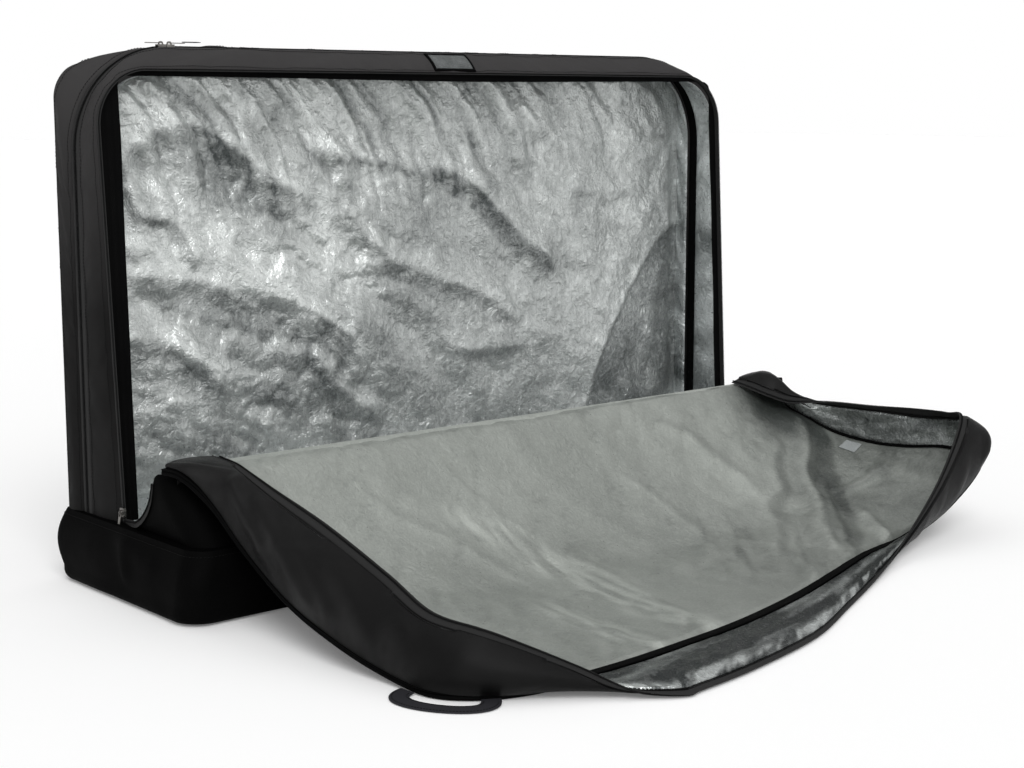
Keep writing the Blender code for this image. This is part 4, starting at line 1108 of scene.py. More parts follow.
def shell_puff(grid: Array, swell: float, gather: float, seed: int) -> Array:
    """How far a padded band stands proud of its flat cut.

    Across the band the swell is sin(pi s)^0.6; along both seams the cloth is gathered:
    puckers of noise 18 mm long, deepest an eighth of the way in, faint at the middle.

    Args:
        grid: the band, rows along, columns across.
        swell: the height of the crown at the middle.
        gather: the depth of the puckers.
        seed: start of the random lattice.

    Returns:
        A distance for each point.
    """
    columns = grid.shape[1]
    s = ramp(columns)[None, :]
    along = arc_lengths(grid[:, columns // 2])[:, None] + 0.0 * s
    width = np.linalg.norm(grid[:, -1] - grid[:, 0], axis=1)[:, None] * s
    crown = hump(s, 0.6)
    slow = 0.75 + 0.45 * clouds(along, width, 0.12, seed, 2)
    edge = hump(s, 0.8) * np.exp(-6.0 * np.minimum(s, 1 - s))
    pucker = clouds(along + 0.35 * width, width * 0.35, 0.018, seed + 5, 2)
    long_folds = np.maximum(clouds(along * 0.8 - 0.9 * width, width * 0.5, 0.06, seed + 9, 2), 0.0)
    return swell * crown * slow + gather * (1.6 * edge * pucker + 0.7 * crown * long_folds)


def seam_stitches(name: str, line: Array, away: Array, body: str, pitch: float = 0.0052) -> Thing:
    """A row of thread along a line, one bead for each stitch, half sunk in the cloth.

    Args:
        name: the piece's name.
        line: where the row runs.
        away: the direction off the cloth, at each place or for all.
        body: the body that it rides on.
        pitch: the distance between stitches.

    Returns:
        The piece.
    """
    both = evenly(np.hstack([line, np.broadcast_to(away, line.shape)]), pitch)
    places, off = both[:, :3], unit(both[:, 3:])
    tangent = unit(np.gradient(places, axis=0))
    thread = bead(pitch * 0.72, THREAD, THREAD)
    row = repeated(name, thread, places + off * THREAD_RISE, tangent, unit(np.cross(off, tangent)), off,
                   Finish.THREAD)
    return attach(row, body)


def zip_teeth(name: str, line: Array, across: Array, away: Array, width: float, body: str,
              pitch: float = 0.0021) -> Thing:
    """One side of a coil: a bead across the tape at every pitch.

    Args:
        name: the piece's name.
        line: the middle of the row of teeth, on the tape.
        across: the direction across the tape.
        away: the direction off the tape.
        width: the length of a tooth.
        body: the body that it rides on.
        pitch: the distance between teeth.

    Returns:
        The piece.
    """
    both = evenly(np.hstack([line, across, away]), pitch)
    places, side, off = both[:, :3], unit(both[:, 3:6]), unit(both[:, 6:])
    tangent = unit(np.gradient(places, axis=0))
    tooth = bead(width, TOOTH_THICKNESS, TOOTH_HEIGHT)
    teeth = repeated(name, tooth, places + off * TOOTH_LIFT, side, tangent, off, Finish.COIL)
    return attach(teeth, body)


def dressed(piece: Thing, body: str, slot: str, *nodes: str) -> Thing:
    """Attach a piece to the body that it rides on, hide the CAD nodes that it stands for, and log it.

    Args:
        piece: the piece.
        body: the body that it rides on.
        slot: not used.
        nodes: the CAD nodes that it stands for.

    Returns:
        The piece.
    """
    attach(piece, body)
    if nodes:
        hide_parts(*nodes)
    log.info("%s: %d faces on %s", piece.name, len(piece.data.polygons), body)
    return piece


# Sub-assemblies


@dataclass
class Boot:
    """The coated tray at the bottom, its lining, and the padded floor on the base board."""

    edge_radius: float = 0.024
    front_radius: float = 0.034
    back_radius: float = 0.014
    foot_radius: float = 0.04
    corner_steps: int = 14
    long_steps: int = 150
    short_steps: int = 44
    swell: float = 0.021
    foot_squareness: float = 0.55
    spine_half: float = 0.46
    pad_foam: float = 0.003
    quilt: float = 0.2
    groove: float = 0.0022

    def plan(self, height_share: float, inset: float) -> Array:
        """The outline seen from above: four straight sides and four quarter circles.

        The corner radius goes from the foot's to the rim's with the height share; the half
        width shrinks from the bottom's to the rim's above the rounded edge. A negative inset
        moves the sides out and keeps the radius.

        Args:
            height_share: height as a share of the boot's.
            inset: how far the line lies inside the skin.

        Returns:
            Rows of (x, y).
        """
        front = self.foot_radius + (self.front_radius - self.foot_radius) * height_share
        back = self.foot_radius + (self.back_radius - self.foot_radius) * height_share
        edge_share = self.edge_radius / CUT.boot_height
        wall_share = max(height_share - edge_share, 0.0) / (1.0 - edge_share)
        out = max(-inset, 0.0)
        half_x = CUT.width / 2 + (CUT.rim_half - CUT.width / 2) * wall_share + out
        half_y = CUT.depth / 2 + out
        corners = ((1, 1, back), (-1, 1, back), (-1, -1, front), (1, -1, front))
        arcs = []
        for turn, (sx, sy, radius) in enumerate(corners):
            angle = (turn + np.arange(self.corner_steps + 1) / self.corner_steps) * math.pi / 2
            reach = radius - max(inset, 0.0)
            arcs.append(np.column_stack([sx * (half_x - radius) + reach * np.cos(angle),
                                         sy * (half_y - radius) + reach * np.sin(angle)]))
        parts = []
        for index, arc in enumerate(arcs):
            count = self.long_steps if index % 2 == 0 else self.short_steps
            following = arcs[(index + 1) % 4][0]
            shares = (np.arange(1, count) / count)[:, None]
            parts += [arc, arc[-1] + (following - arc[-1]) * shares]
        return np.vstack(parts)

    def levels(self, depth_in: float, swell: float = 0.0) -> Array:
        """Rings from the rim down the wall and round the bottom edge, a depth inside the skin.

        On the rounded edge a ring lies at height R - r sin^q a and inset R - r cos^q a, with
        r = R - depth and q the skin's squareness, 1 inside. The wall bows out by swell
        (0.55 + 0.45 sin(pi s)), and the rounded edge takes 0.55 of the swell times cos^q a, so
        the bow ends on the floor.

        Args:
            depth_in: the depth inside the skin.
            swell: the bow's height, 0 for an inner layer.

        Returns:
            A grid: places round the boot x levels down.
        """
        held = 0.55
        rings = []
        for share in ramp(12)[:-1]:
            height = CUT.boot_height + (self.edge_radius - CUT.boot_height) * share
            bow = swell * (held + 0.45 * math.sin(math.pi * share))
            ring = self.plan(height / CUT.boot_height, depth_in - bow)
            rings.append(np.column_stack([ring, np.full(len(ring), height)]))
        for angle in np.linspace(0.0, math.pi / 2, 10):
            reach = self.edge_radius - depth_in
            squareness = self.foot_squareness if swell else 1.0
            inset = self.edge_radius - (reach + held * swell) * max(math.cos(angle), 0.0) ** squareness
            ring = self.plan(self.edge_radius / CUT.boot_height, inset)
            drop = reach * math.sin(angle) ** squareness
            rings.append(np.column_stack([ring, np.full(len(ring), self.edge_radius - drop)]))
        return np.stack(rings, axis=1)

    def under(self, ring: Array, height: float, columns: int = 10) -> Array:
        """The flat underside, drawn from a ring to a line along its middle.

        Args:
            ring: the ring that it starts on.
            height: its height.
            columns: how many rings it has.

        Returns:
            A grid like that of the levels.
        """
        spine = np.column_stack([np.clip(ring[:, 0], -self.spine_half, self.spine_half), np.zeros(len(ring)),
                                 np.full(len(ring), height)])
        start = np.column_stack([ring[:, :2], np.full(len(ring), height)])
        return between(start, spine, ramp(columns))

    def creases(self, grid: Array) -> Array:
        """Depth of the boot's creases: slack folds at the front corners, slow waves on the walls.

        The folds run down the corner from the zip's foot; the waves are noise 90 mm long.

        Args:
            grid: the skin.

        Returns:
            A height for each point.
        """
        x, y, z = grid[..., 0], grid[..., 1], grid[..., 2]
        side = np.where(np.abs(x) > 0.5, y, x)
        down = np.clip((CUT.boot_height - z) / CUT.boot_height, 0.0, 1.0)
        wall = hump(np.clip(down * 0.92, 0, 1))
        waves = 0.0016 * clouds(side, z * 1.4, 0.09, 61, 2)
        folds = 0.0
        for path, width, height in ((((0.028, 0.105), (-0.01, 0.08), (-0.03, 0.03)), 0.009, 0.0032),
                                    (((0.01, 0.1), (-0.06, 0.075), (-0.115, 0.07)), 0.008, 0.0024)):
            fold = Fold(path, width, width * 1.8, height)
            folds = folds + fold.relief(y, z)[0] * (np.abs(x) > 0.5)
        return wall * waves + np.minimum(wall * 2, 1.0) * folds

    def build(self) -> None:
        """Make the tray, its lining ring and the padded floor."""
        outer = self.levels(0.0, self.swell)
        inner = self.levels(CUT.padding)
        normals = outward(outer, np.array([0.0, 0.0, 0.06]))
        outer = outer + normals * np.minimum(self.creases(outer), 0.004)[..., None] * (outer[..., 2:] > 0.004)
        bottom_out = self.under(outer[:, -1], 0.0)
        bottom_in = self.under(outer[:, -1], CUT.cloth)
        upper = np.concatenate([outer, bottom_out[:, 1:]], axis=1)
        lower = np.concatenate([inner, bottom_in[:, 1:]], axis=1)
        tray = slab("boot_tray", upper, lower, Finish.BOOT, wrap=True)
        face_outwards(tray.data, MERGE)
        dressed(tray, "shell", "boot_cloth", "boot", "boot_wall_foam")
        face = self.levels(CUT.wall)
        lining = slab("boot_lining", face, self.levels(CUT.wall - CUT.lining), Finish.SIDE_SILVER,
                      wrap=True, tone=np.zeros(face.shape[:2]))
        dressed(lining, "shell", "silver_lining", "boot_wall_lining")
        self.floor_pad()
        seam_stitches("boot_rim_stitches", outer[:, 1] + normals[:, 1] * CUT.gap, normals[:, 1], "shell")

    def floor_pad(self) -> None:
        """The quilted floor over the base board: foam and lining as one pad, sunk along sewn lines.

        Height = full thickness less a groove exp(-(d/w)^2) on each sewn line.
        """
        ring = self.plan(self.edge_radius / CUT.boot_height, self.edge_radius + CUT.gap)
        low = CUT.cloth + CUT.gap + self.pad_foam + CUT.gap
        top = self.under(ring, CUT.wall, 26)
        x = top[..., 0]
        nearest = np.abs((x / self.quilt) - np.round(x / self.quilt)) * self.quilt
        top[..., 2] -= self.groove * bell(nearest, 0.007)
        top[..., 2] -= 0.0004 * (1 - clouds(x, top[..., 1], 0.05, 71, 2))
        pad = slab("floor_pad", top, self.under(ring, low, 26), Finish.SIDE_SILVER, wrap=True,
                   tone=np.zeros(top.shape[:2]))
        face_outwards(pad.data, MERGE)
        dressed(pad, "shell", "silver_lining", "base_foam", "base_lining")
        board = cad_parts["base_board"]
        board.data.materials.clear()
        board.data.materials.append(Finish.BOARD.material())


@dataclass
class UpperShell:
    """Rear and front gussets: a padded outer band and a lining band each."""

    columns: int = 18
    rear_swell: float = 0.005
    front_swell: float = 0.0045
    gather: float = 0.0038
    inside: Array = field(default_factory=lambda: np.array([0.0, 0.1, 0.4]))

    def band(self, first: Array, second: Array) -> Array:
        """The ruled band between two arches."""
        return between(first, second, ramp(self.columns))

    def build_band(self, name: str, edges: Callable[[float], tuple[Array, Array]], swell: float, seed: int,
                   nodes: Sequence[str], lining_node: str, tone: float) -> None:
        """One gusset: its padded outer band, swollen between the seams, and its lining.

        Args:
            name: the gusset's name.
            edges: gives the two edge lines at an inset.
            swell: the height of the crown.
            seed: start of the random lattice.
            nodes: the CAD nodes of cloth and foam.
            lining_node: the CAD node of the lining.
            tone: the lining's mean shade.
        """
        outer = self.band(*edges(0.0))
        outer = outer + outward(outer, self.inside) * shell_puff(outer, swell, self.gather, seed)[..., None]
        inner = self.band(*edges(CUT.padding))
        piece = slab(name + "_padded", outer, inner, Finish.SHELL)
        away = outward(outer, self.inside)
        for side, column in (("near", 2), ("far", self.columns - 3)):
            seam_stitches(f"{name}_stitches_{side}", outer[:, column] + away[:, column] * THREAD_LIFT,
                          away[:, column], "shell")
        dressed(piece, "shell", "shell_cloth", *nodes)
        face = self.band(*edges(CUT.wall))
        along = arc_lengths(face[:, 0])[:, None] + np.zeros(face.shape[:2])
        across = arc_lengths(face[len(face) // 2])[None, :] + np.zeros(face.shape[:2])
        relief = (0.003 * facets(along, across * 0.6, 0.045, seed + 3)
                  + 0.0018 * facets(along, across * 0.8, 0.021, seed + 4))
        relief = (relief + 0.0045) * hump(ramp(self.columns), 0.5)[None, :]
        front = face - outward(face, self.inside) * relief[..., None]
        lining = slab(name + "_lining_cloth", front, self.band(*edges(CUT.wall - CUT.lining)),
                      Finish.SIDE_SILVER, tone=tone + 0.4 * clouds(along, across * 0.5, 0.07, seed + 6, 3))
        dressed(lining, "shell", "silver_lining", lining_node)

    def build(self) -> None:
        """Make both gussets with their stitched seams."""
        middle_back = CUT.middle_tape / 2 + CUT.gap
        rear_end = CUT.back_y - CUT.cloth - CUT.gap

        def rear(inset: float) -> tuple[Array, Array]:
            """Edges of the rear gusset."""
            return MIDDLE.outline(inset, middle_back), BACK.outline(inset, rear_end)

        def front(inset: float) -> tuple[Array, Array]:
            """Edges of the front gusset."""
            return MOUTH.outline(inset, CUT.mouth_tape + CUT.gap), MIDDLE.outline(inset, -middle_back)

        self.build_band("rear_gusset", rear, self.rear_swell, 11, ("rear_gusset_outer", "rear_gusset_foam"),
                        "rear_gusset_lining", 0.3)
        self.build_band("front_gusset", front, self.front_swell, 31,
                        ("front_gusset_outer", "front_gusset_foam"), "front_gusset_lining",
                        0.5)


@dataclass
class BackPanel:
    """The back panel: a padded outer sheet and the crinkled silver lining inside."""

    radius: float = 0.052
    rows: int = 156
    columns: int = 300
    corner_steps: int = 20
    ground: float = 0.006
    coarse: float = 0.01
    middle: float = 0.007
    fine: float = 0.003
    planes: float = 0.0045
    pleat: float = 0.012
    gather: float = 0.006
    tallest: float = 0.036
    lift: float = 0.0002
    folds: tuple[Fold, ...] = (
        Fold(((-0.585, 0.595), (-0.535, 0.64), (-0.494, 0.662), (-0.455, 0.673), (-0.41, 0.662),
             (-0.355, 0.622), (-0.295, 0.583), (-0.25, 0.565), (-0.2, 0.55)), 0.06, 0.022, 0.01, 0.5, 0.08,
             0.22),
        Fold(((-0.62, 0.43), (-0.56, 0.444), (-0.484, 0.44), (-0.43, 0.437), (-0.39, 0.42), (-0.33, 0.405),
             (-0.255, 0.385), (-0.19, 0.352), (-0.135, 0.3), (-0.12, 0.23)), 0.06, 0.022, 0.01, 0.48, 0.07,
             0.2),
        Fold(((-0.03, 0.594), (0.024, 0.593), (0.06, 0.588), (0.115, 0.557), (0.171, 0.516), (0.228, 0.468),
             (0.275, 0.434), (0.323, 0.406), (0.35, 0.395)), 0.05, 0.018, 0.01, 0.42, 0.044, 0.12),
        Fold(((-0.246, 0.634), (-0.15, 0.619), (-0.06, 0.604), (0.013, 0.58)), 0.03, 0.014, 0.006, 0.3, 0.016,
             0.12),
        Fold(((-0.12, 0.458), (-0.072, 0.447), (0.033, 0.41), (0.143, 0.368), (0.235, 0.308)), 0.04, 0.016,
             0.007, 0.22, 0.04, 0.1),
        Fold(((-0.275, 0.38), (-0.236, 0.323), (-0.196, 0.263), (-0.136, 0.207), (-0.07, 0.168)), 0.04, 0.018,
             0.007, 0.26, 0.045, 0.2),
        Fold(((-0.6, 0.35), (-0.504, 0.342), (-0.436, 0.312), (-0.376, 0.254)), 0.036, 0.014, 0.007, 0.28,
             0.04, 0.2),
        Fold(((-0.56, 0.545), (-0.51, 0.532), (-0.46, 0.52), (-0.44, 0.48), (-0.43, 0.44)), 0.03, 0.014,
             0.007, 0.45, 0.026, 0.25),
        Fold(((-0.63, 0.52), (-0.6, 0.505), (-0.56, 0.49), (-0.52, 0.47)), 0.026, 0.014, 0.005, 0.42, 0.04,
             0.2),
        Fold(((-0.171, 0.545), (-0.112, 0.485), (-0.089, 0.41)), 0.03, 0.014, 0.005, 0.22, 0.018, 0.1),
        Fold(((0.2, 0.71), (0.233, 0.675), (0.282, 0.648), (0.327, 0.609)), 0.016, 0.016, 0.007, 0.0, 0.02,
             0.32),
        Fold(((0.33, 0.553), (0.429, 0.532), (0.531, 0.545)), 0.03, 0.014, 0.005, 0.16, 0.02),
        Fold(((0.01, 0.309), (0.12, 0.279), (0.259, 0.279)), 0.034, 0.014, 0.006, 0.16, 0.03, 0.1),
        Fold(((0.59, 0.43), (0.56, 0.36), (0.545, 0.27), (0.52, 0.18)), 0.02, 0.014, 0.004, 0.08, 0.02, 0.14),
    )
    shade_edge: tuple[Pair, ...] = (
        (0.74, 0.54), (0.685, 0.492), (0.609, 0.469), (0.564, 0.444), (0.525, 0.39), (0.474, 0.319),
        (0.424, 0.248), (0.394, 0.173), (0.37, 0.1))

    def panel(self, inset: float, y: float) -> Array:
        """A grid over the panel: x = s w(z), with w narrowing in the rounded top corners.

        w(z) = half - r + sqrt(r^2 - (z - top + r)^2) above the corner's start, half below it.

        Args:
            inset: how far it is drawn in.
            y: its depth.

        Returns:
            The grid, upwards x to the right.
        """
        half, top, radius = CUT.back_half - inset, CUT.back_top - inset, self.radius - inset
        straight = np.linspace(CUT.foot, top - radius, self.rows - self.corner_steps)[:-1]
        angle = np.linspace(0.0, math.pi / 2, self.corner_steps + 1)
        z = np.concatenate([straight, top - radius + radius * np.sin(angle)])
        w = np.concatenate([np.full(len(straight), half), half - radius + radius * np.cos(angle)])
        s = np.linspace(-1.0, 1.0, self.columns)
        grid = np.zeros((len(z), len(s), 3))
        grid[..., 0] = w[:, None] * s[None, :]
        grid[..., 1] = y
        grid[..., 2] = z[:, None]
        return BACK.sunk(grid)

    def hanging(self, x: Array, z: Array) -> tuple[Array, Array]:
        """Pleats that hang from the top seam along x - 0.17 (1 - exp(-depth / 0.12)) = constant.

        Args:
            x: place along the panel.
            z: height.

        Returns:
            Their height and their shade.
        """
        depth = CUT.back_top - z
        psi = x - 0.17 * (1.0 - np.exp(-depth / 0.12)) + 0.004 * clouds(x, z, 0.04, 47, 2)
        stripes = clouds(psi, depth * 0.14, 0.048, 51, 3)
        hung = eased((0.34 - depth) / 0.24) * (1.0 - 0.74 * eased((x - 0.05) / 0.35))
        # Painted shade in the pleats' valleys and painted light on their crowns.
        shade = hung * (0.26 * bell(stripes, 0.13) - 0.2 * np.clip(np.abs(stripes) - 0.3, 0.0, 0.5)
                        + 0.16 * clouds(psi, depth * 0.1, 0.013, 57, 2))
        return hung * self.pleat * np.abs(stripes), shade

    def border(self, x: Array, z: Array) -> Array:
        """Share of the relief that is left: none on the seams and behind the middle zip's arch.

        Args:
            x: place along the panel.
            z: height.

        Returns:
            Shares in 0..1.
        """
        corner, play = MIDDLE.radius, 0.012
        from_corner = corner - np.hypot(np.maximum(np.abs(x) - (CUT.middle_half - play - corner), 0.0),
                                        np.maximum(z - (CUT.height - play - corner), 0.0))
        half, top = CUT.back_half - CUT.wall, CUT.back_top - CUT.wall
        return (eased((half - np.abs(x)) / 0.012) * eased((top - z) / 0.02)
                * eased((z - CUT.foot) / 0.02 + 0.1) * eased((from_corner - 0.004) / 0.03))

    def relief(self, x: Array, z: Array) -> tuple[Array, Array]:
        """Height of the lining's folds into the bag, and their painted shade.

        Sum of the listed folds, three sizes of billows (|noise|) drawn out along the fall of
        the folds, flat planes, pleats that hang from the top seam, and short gathers on the
        left seam; all of it fades to nothing on the seams. The shade follows the folds and the
        slopes, is brighter on the left, and dark beyond the slack field's edge in the lower
        right corner.

        Args:
            x: place along the panel.
            z: height.

        Returns:
            Heights in metres and shades in 0..1.
        """
        warp_x = x + 0.014 * clouds(x, z, 0.09, 3, 3)
        warp_z = z + 0.014 * clouds(x, z, 0.09, 5, 3)
        along, across = 0.848 * warp_x - 0.53 * warp_z, 0.53 * warp_x + 0.848 * warp_z
        height, shade = np.full_like(x, self.ground), np.zeros_like(x)
        ragged = 0.01 * clouds(along, across, 0.022, 7, 3)
        for fold in self.folds:
            rise, dark = fold.relief(x + 0.35 * (warp_x - x), z + 0.35 * (warp_z - z) + 0.1 * ragged, ragged)
            height += rise
            # Painted shade below each fold's crest and painted highlight along it.
            shade += 0.62 * dark
        edge = Fold(self.shade_edge, 0.05, 0.05, 1.0)
        signed, _ = edge.shares(x + 0.3 * (warp_x - x), z + 0.3 * (warp_z - z))
        # The slack field in the lower right corner, beyond the shade edge: calmer relief, and painted shade.
        right = eased(0.5 + signed / 0.01) * eased((0.62 - z) / 0.1)
        lower, left = eased((0.42 - z) / 0.14), eased((0.1 - x) / 0.45)
        knot = spot(x, z, (-0.16, 0.46), (0.13, 0.1))
        lively = np.clip(0.42 + 0.55 * knot + 0.4 * lower * left + 0.18 * left, 0.0, 1.15)
        lively = lively * (1.0 - 0.65 * right)
        coarse = billow(along * 0.55, across, 0.1, 41, 2)
        middle = billow(along * 0.7, across, 0.045, 43, 2)
        fine = billow(warp_x, warp_z, 0.016, 45, 2)
        plane = facets(x * 0.9 + 0.2 * z, z * 0.55, 0.05, 61)
        height += (self.coarse * coarse * (1.0 - 0.4 * right)
                   + lively * (self.middle * middle + self.fine * fine) + self.planes * plane)
        rise, dark = self.hanging(x, z)
        height += rise
        shade += dark
        drawn = clouds(z, x * 0.25, 0.03, 53, 3) * np.exp(-(x + CUT.back_half) / 0.09)
        height += self.gather * np.abs(drawn)
        # Painted light and shade across the gathers on the left seam.
        shade += 0.18 * drawn
        grain = clouds(along * 0.35, across, 0.045, 55, 4)
        # Random tone, and painted shade that follows the flat planes and the billows' creases.
        shade += (0.07 * plane + (0.08 + 0.12 * left) * grain + lively * 0.19 * (0.42 - middle)
                  + lively * 0.12 * (0.45 - fine))
        # Painted shade by slope: darker where the lining faces down, lighter where it faces left.
        slope_z = np.gradient(height, axis=0) / np.gradient(z, axis=0)
        slope_x = np.gradient(height, axis=1) / np.gradient(x, axis=1)
        shade += 0.3 * np.clip(slope_z, -0.45, 0.45) - 0.12 * np.clip(slope_x, -0.5, 0.5)
        # Painted light and shade: brighter on the left, a little darker on the right.
        shade += 0.45 - 0.22 * eased((0.05 - x) / 0.45) - 0.09 * eased((x - 0.08) / 0.3)
        # Darker low down on the left, a little lighter low down on the right.
        shade += 0.17 * lower * left - 0.04 * lower * (1.0 - left)
        # Painted shade over the slack field, and a painted highlight along its edge.
        shade += 0.34 * right - 0.12 * bell(signed + 0.014, 0.014) * (z < 0.5)
        return (np.clip(height, 0.0, self.tallest) * self.border(x, z) + self.lift, np.clip(shade, 0.0, 1.0))

    def build(self) -> None:
        """Make the outer panel and the lining."""
        outer = self.panel(0.0, CUT.back_y)
        x, z = outer[..., 0], outer[..., 2]
        edge = np.minimum(CUT.back_half - np.abs(x), np.minimum(CUT.back_top - z, z - CUT.foot + 0.02))
        crown = eased(edge / 0.05)
        swell = 0.0055 * crown * (0.8 + 0.35 * clouds(x, z, 0.28, 81, 3))
        swell += 0.0022 * crown * np.maximum(clouds(x + 0.4 * z, z, 0.11, 83, 3), 0.0)
        outer[..., 1] += swell
        inner = self.panel(0.0, CUT.back_y - CUT.cloth)
        panel = slab("back_panel_cloth", outer, inner, Finish.SHELL)
        dressed(panel, "shell", "shell_cloth", "back_panel_outer", "back_panel_foam")
        inset = CUT.wall + CUT.gap
        back = self.panel(inset, CUT.back_y - CUT.wall + CUT.lining)
        height, shade = self.relief(back[..., 0], back[..., 2])
        front = back.copy()
        front[..., 1] -= CUT.lining + height
        lining = slab("back_lining", front, back, Finish.SILVER, tone=shade)
        dressed(lining, "shell", "silver_lining", "back_panel_lining")
        seam_stitches("back_panel_stitches", BACK.outline(0.004, CUT.back_y), BACKWARDS, "shell")


@dataclass
class MiddleZip:
    """The zip over both sides and the top: two tapes, their teeth, and the binding inside."""

    profile: tuple[float, ...] = (-1.0, -0.9, -0.35, -0.12, 0.0, 0.12, 0.35, 0.9, 1.0)
    lift_mm: tuple[float, ...] = (0.2, 0.55, 0.55, 0.0, -0.3, 0.0, 0.55, 0.55, 0.2)
    tooth_offset: float = 0.0014
    crown: float = 0.0012

    def build(self) -> None:
        """Make the tape, both rows of teeth and the inner binding."""
        half = CUT.middle_tape / 2
        tape = MIDDLE.tape("middle_zip_tapes", "middle_zip_tape", np.array(self.profile) * half,
                           np.array(self.lift_mm) * 0.001)
        teeth = MIDDLE.teeth("middle_teeth_front", -self.tooth_offset, TOOTH_LENGTH)
        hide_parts("middle_zip_coil")
        MIDDLE.teeth("middle_teeth_back", self.tooth_offset, TOOTH_LENGTH)
        start = CUT.gap + CUT.tape + CUT.gap
        depths = np.linspace(-half, half, 7)
        rise = hump(ramp(7), 0.5) * self.crown
        binding = slab("middle_inner_binding", MIDDLE.grid(start + CUT.binding + rise, depths),
                       MIDDLE.grid(start, depths), Finish.BINDING)
        dressed(binding, "shell", "zip_tape", "middle_zip_binding")


@dataclass
class MouthZip:
    """The zip round the opening: its tape, one row of teeth, and the binding that stands inwards."""

    left_reach: float = 0.025
    right_reach: float = 0.015
    top_reach: float = 0.0085
    corner_radius: float = 0.014
    left_lean: float = 0.013
    sag: float = 0.004
    wave: float = 0.0012
    reaches: tuple[float, ...] = (0.0, 0.25, 0.5, 0.75, 0.93, 1.0)
    thickness_mm: tuple[float, ...] = (1.2, 1.3, 1.4, 1.5, 1.3, 0.7)

    def build(self) -> None:
        """Make the tape and its teeth."""
        depths = np.array([0.0, 0.1, 0.55, 1.0]) * CUT.mouth_tape
        lift = np.array([0.1, 0.6, 0.6, 0.2]) * 0.001
        tape = MOUTH.tape("mouth_zip_tapes", "mouth_zip_tape", depths, lift)
        teeth = MOUTH.teeth("mouth_teeth", 0.0016, 0.0031)
        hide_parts("mouth_zip_coil")
        self.binding()

    def binding(self) -> None:
        """The binding: ruled from the tape to a smaller arch in the mouth, with a sagging top.

        A place is base + s (arch - base) for each reach s; a slow ripple and half the
        thickness move it in depth.
        """
        middle = CUT.mouth_tape - CUT.binding / 2
        along = arc_lengths(MOUTH.outline())
        base = MOUTH.outline(CUT.gap + CUT.tape + CUT.gap, middle)
        left, right = (Arch(CUT.mouth_foot_half - reach, CUT.mouth_top_half - reach - lean,
                            CUT.mouth_top - self.top_reach, self.corner_radius, CUT.mouth_foot_y,
                            CUT.mouth_top_y).outline(0.0, middle)
                       for reach, lean in ((self.left_reach, self.left_lean), (self.right_reach, 0.0)))
        deepest = np.where(base[:, :1] < 0, left, right)
        deepest[:, 2] -= self.sag * bell(base[:, 0] - 0.05, 0.3) * (base[:, 2] > CUT.mouth_top - 0.03)
        reaches = np.array(self.reaches)
        thick = np.array(self.thickness_mm) * 0.001
        ripple = self.wave * clouds(along, along * 0.0, 0.07, 91, 2)[:, None] * reaches[None, :]
        faces = []
        for side in (-1.0, 1.0):
            faces.append(np.stack([base + (deepest - base) * s for s in reaches], axis=1))
            faces[-1][..., 1] += side * thick[None, :] / 2 + ripple
        binding = slab("mouth_inner_binding", *faces, Finish.BINDING)
        dressed(binding, "shell", "zip_tape", "mouth_binding")


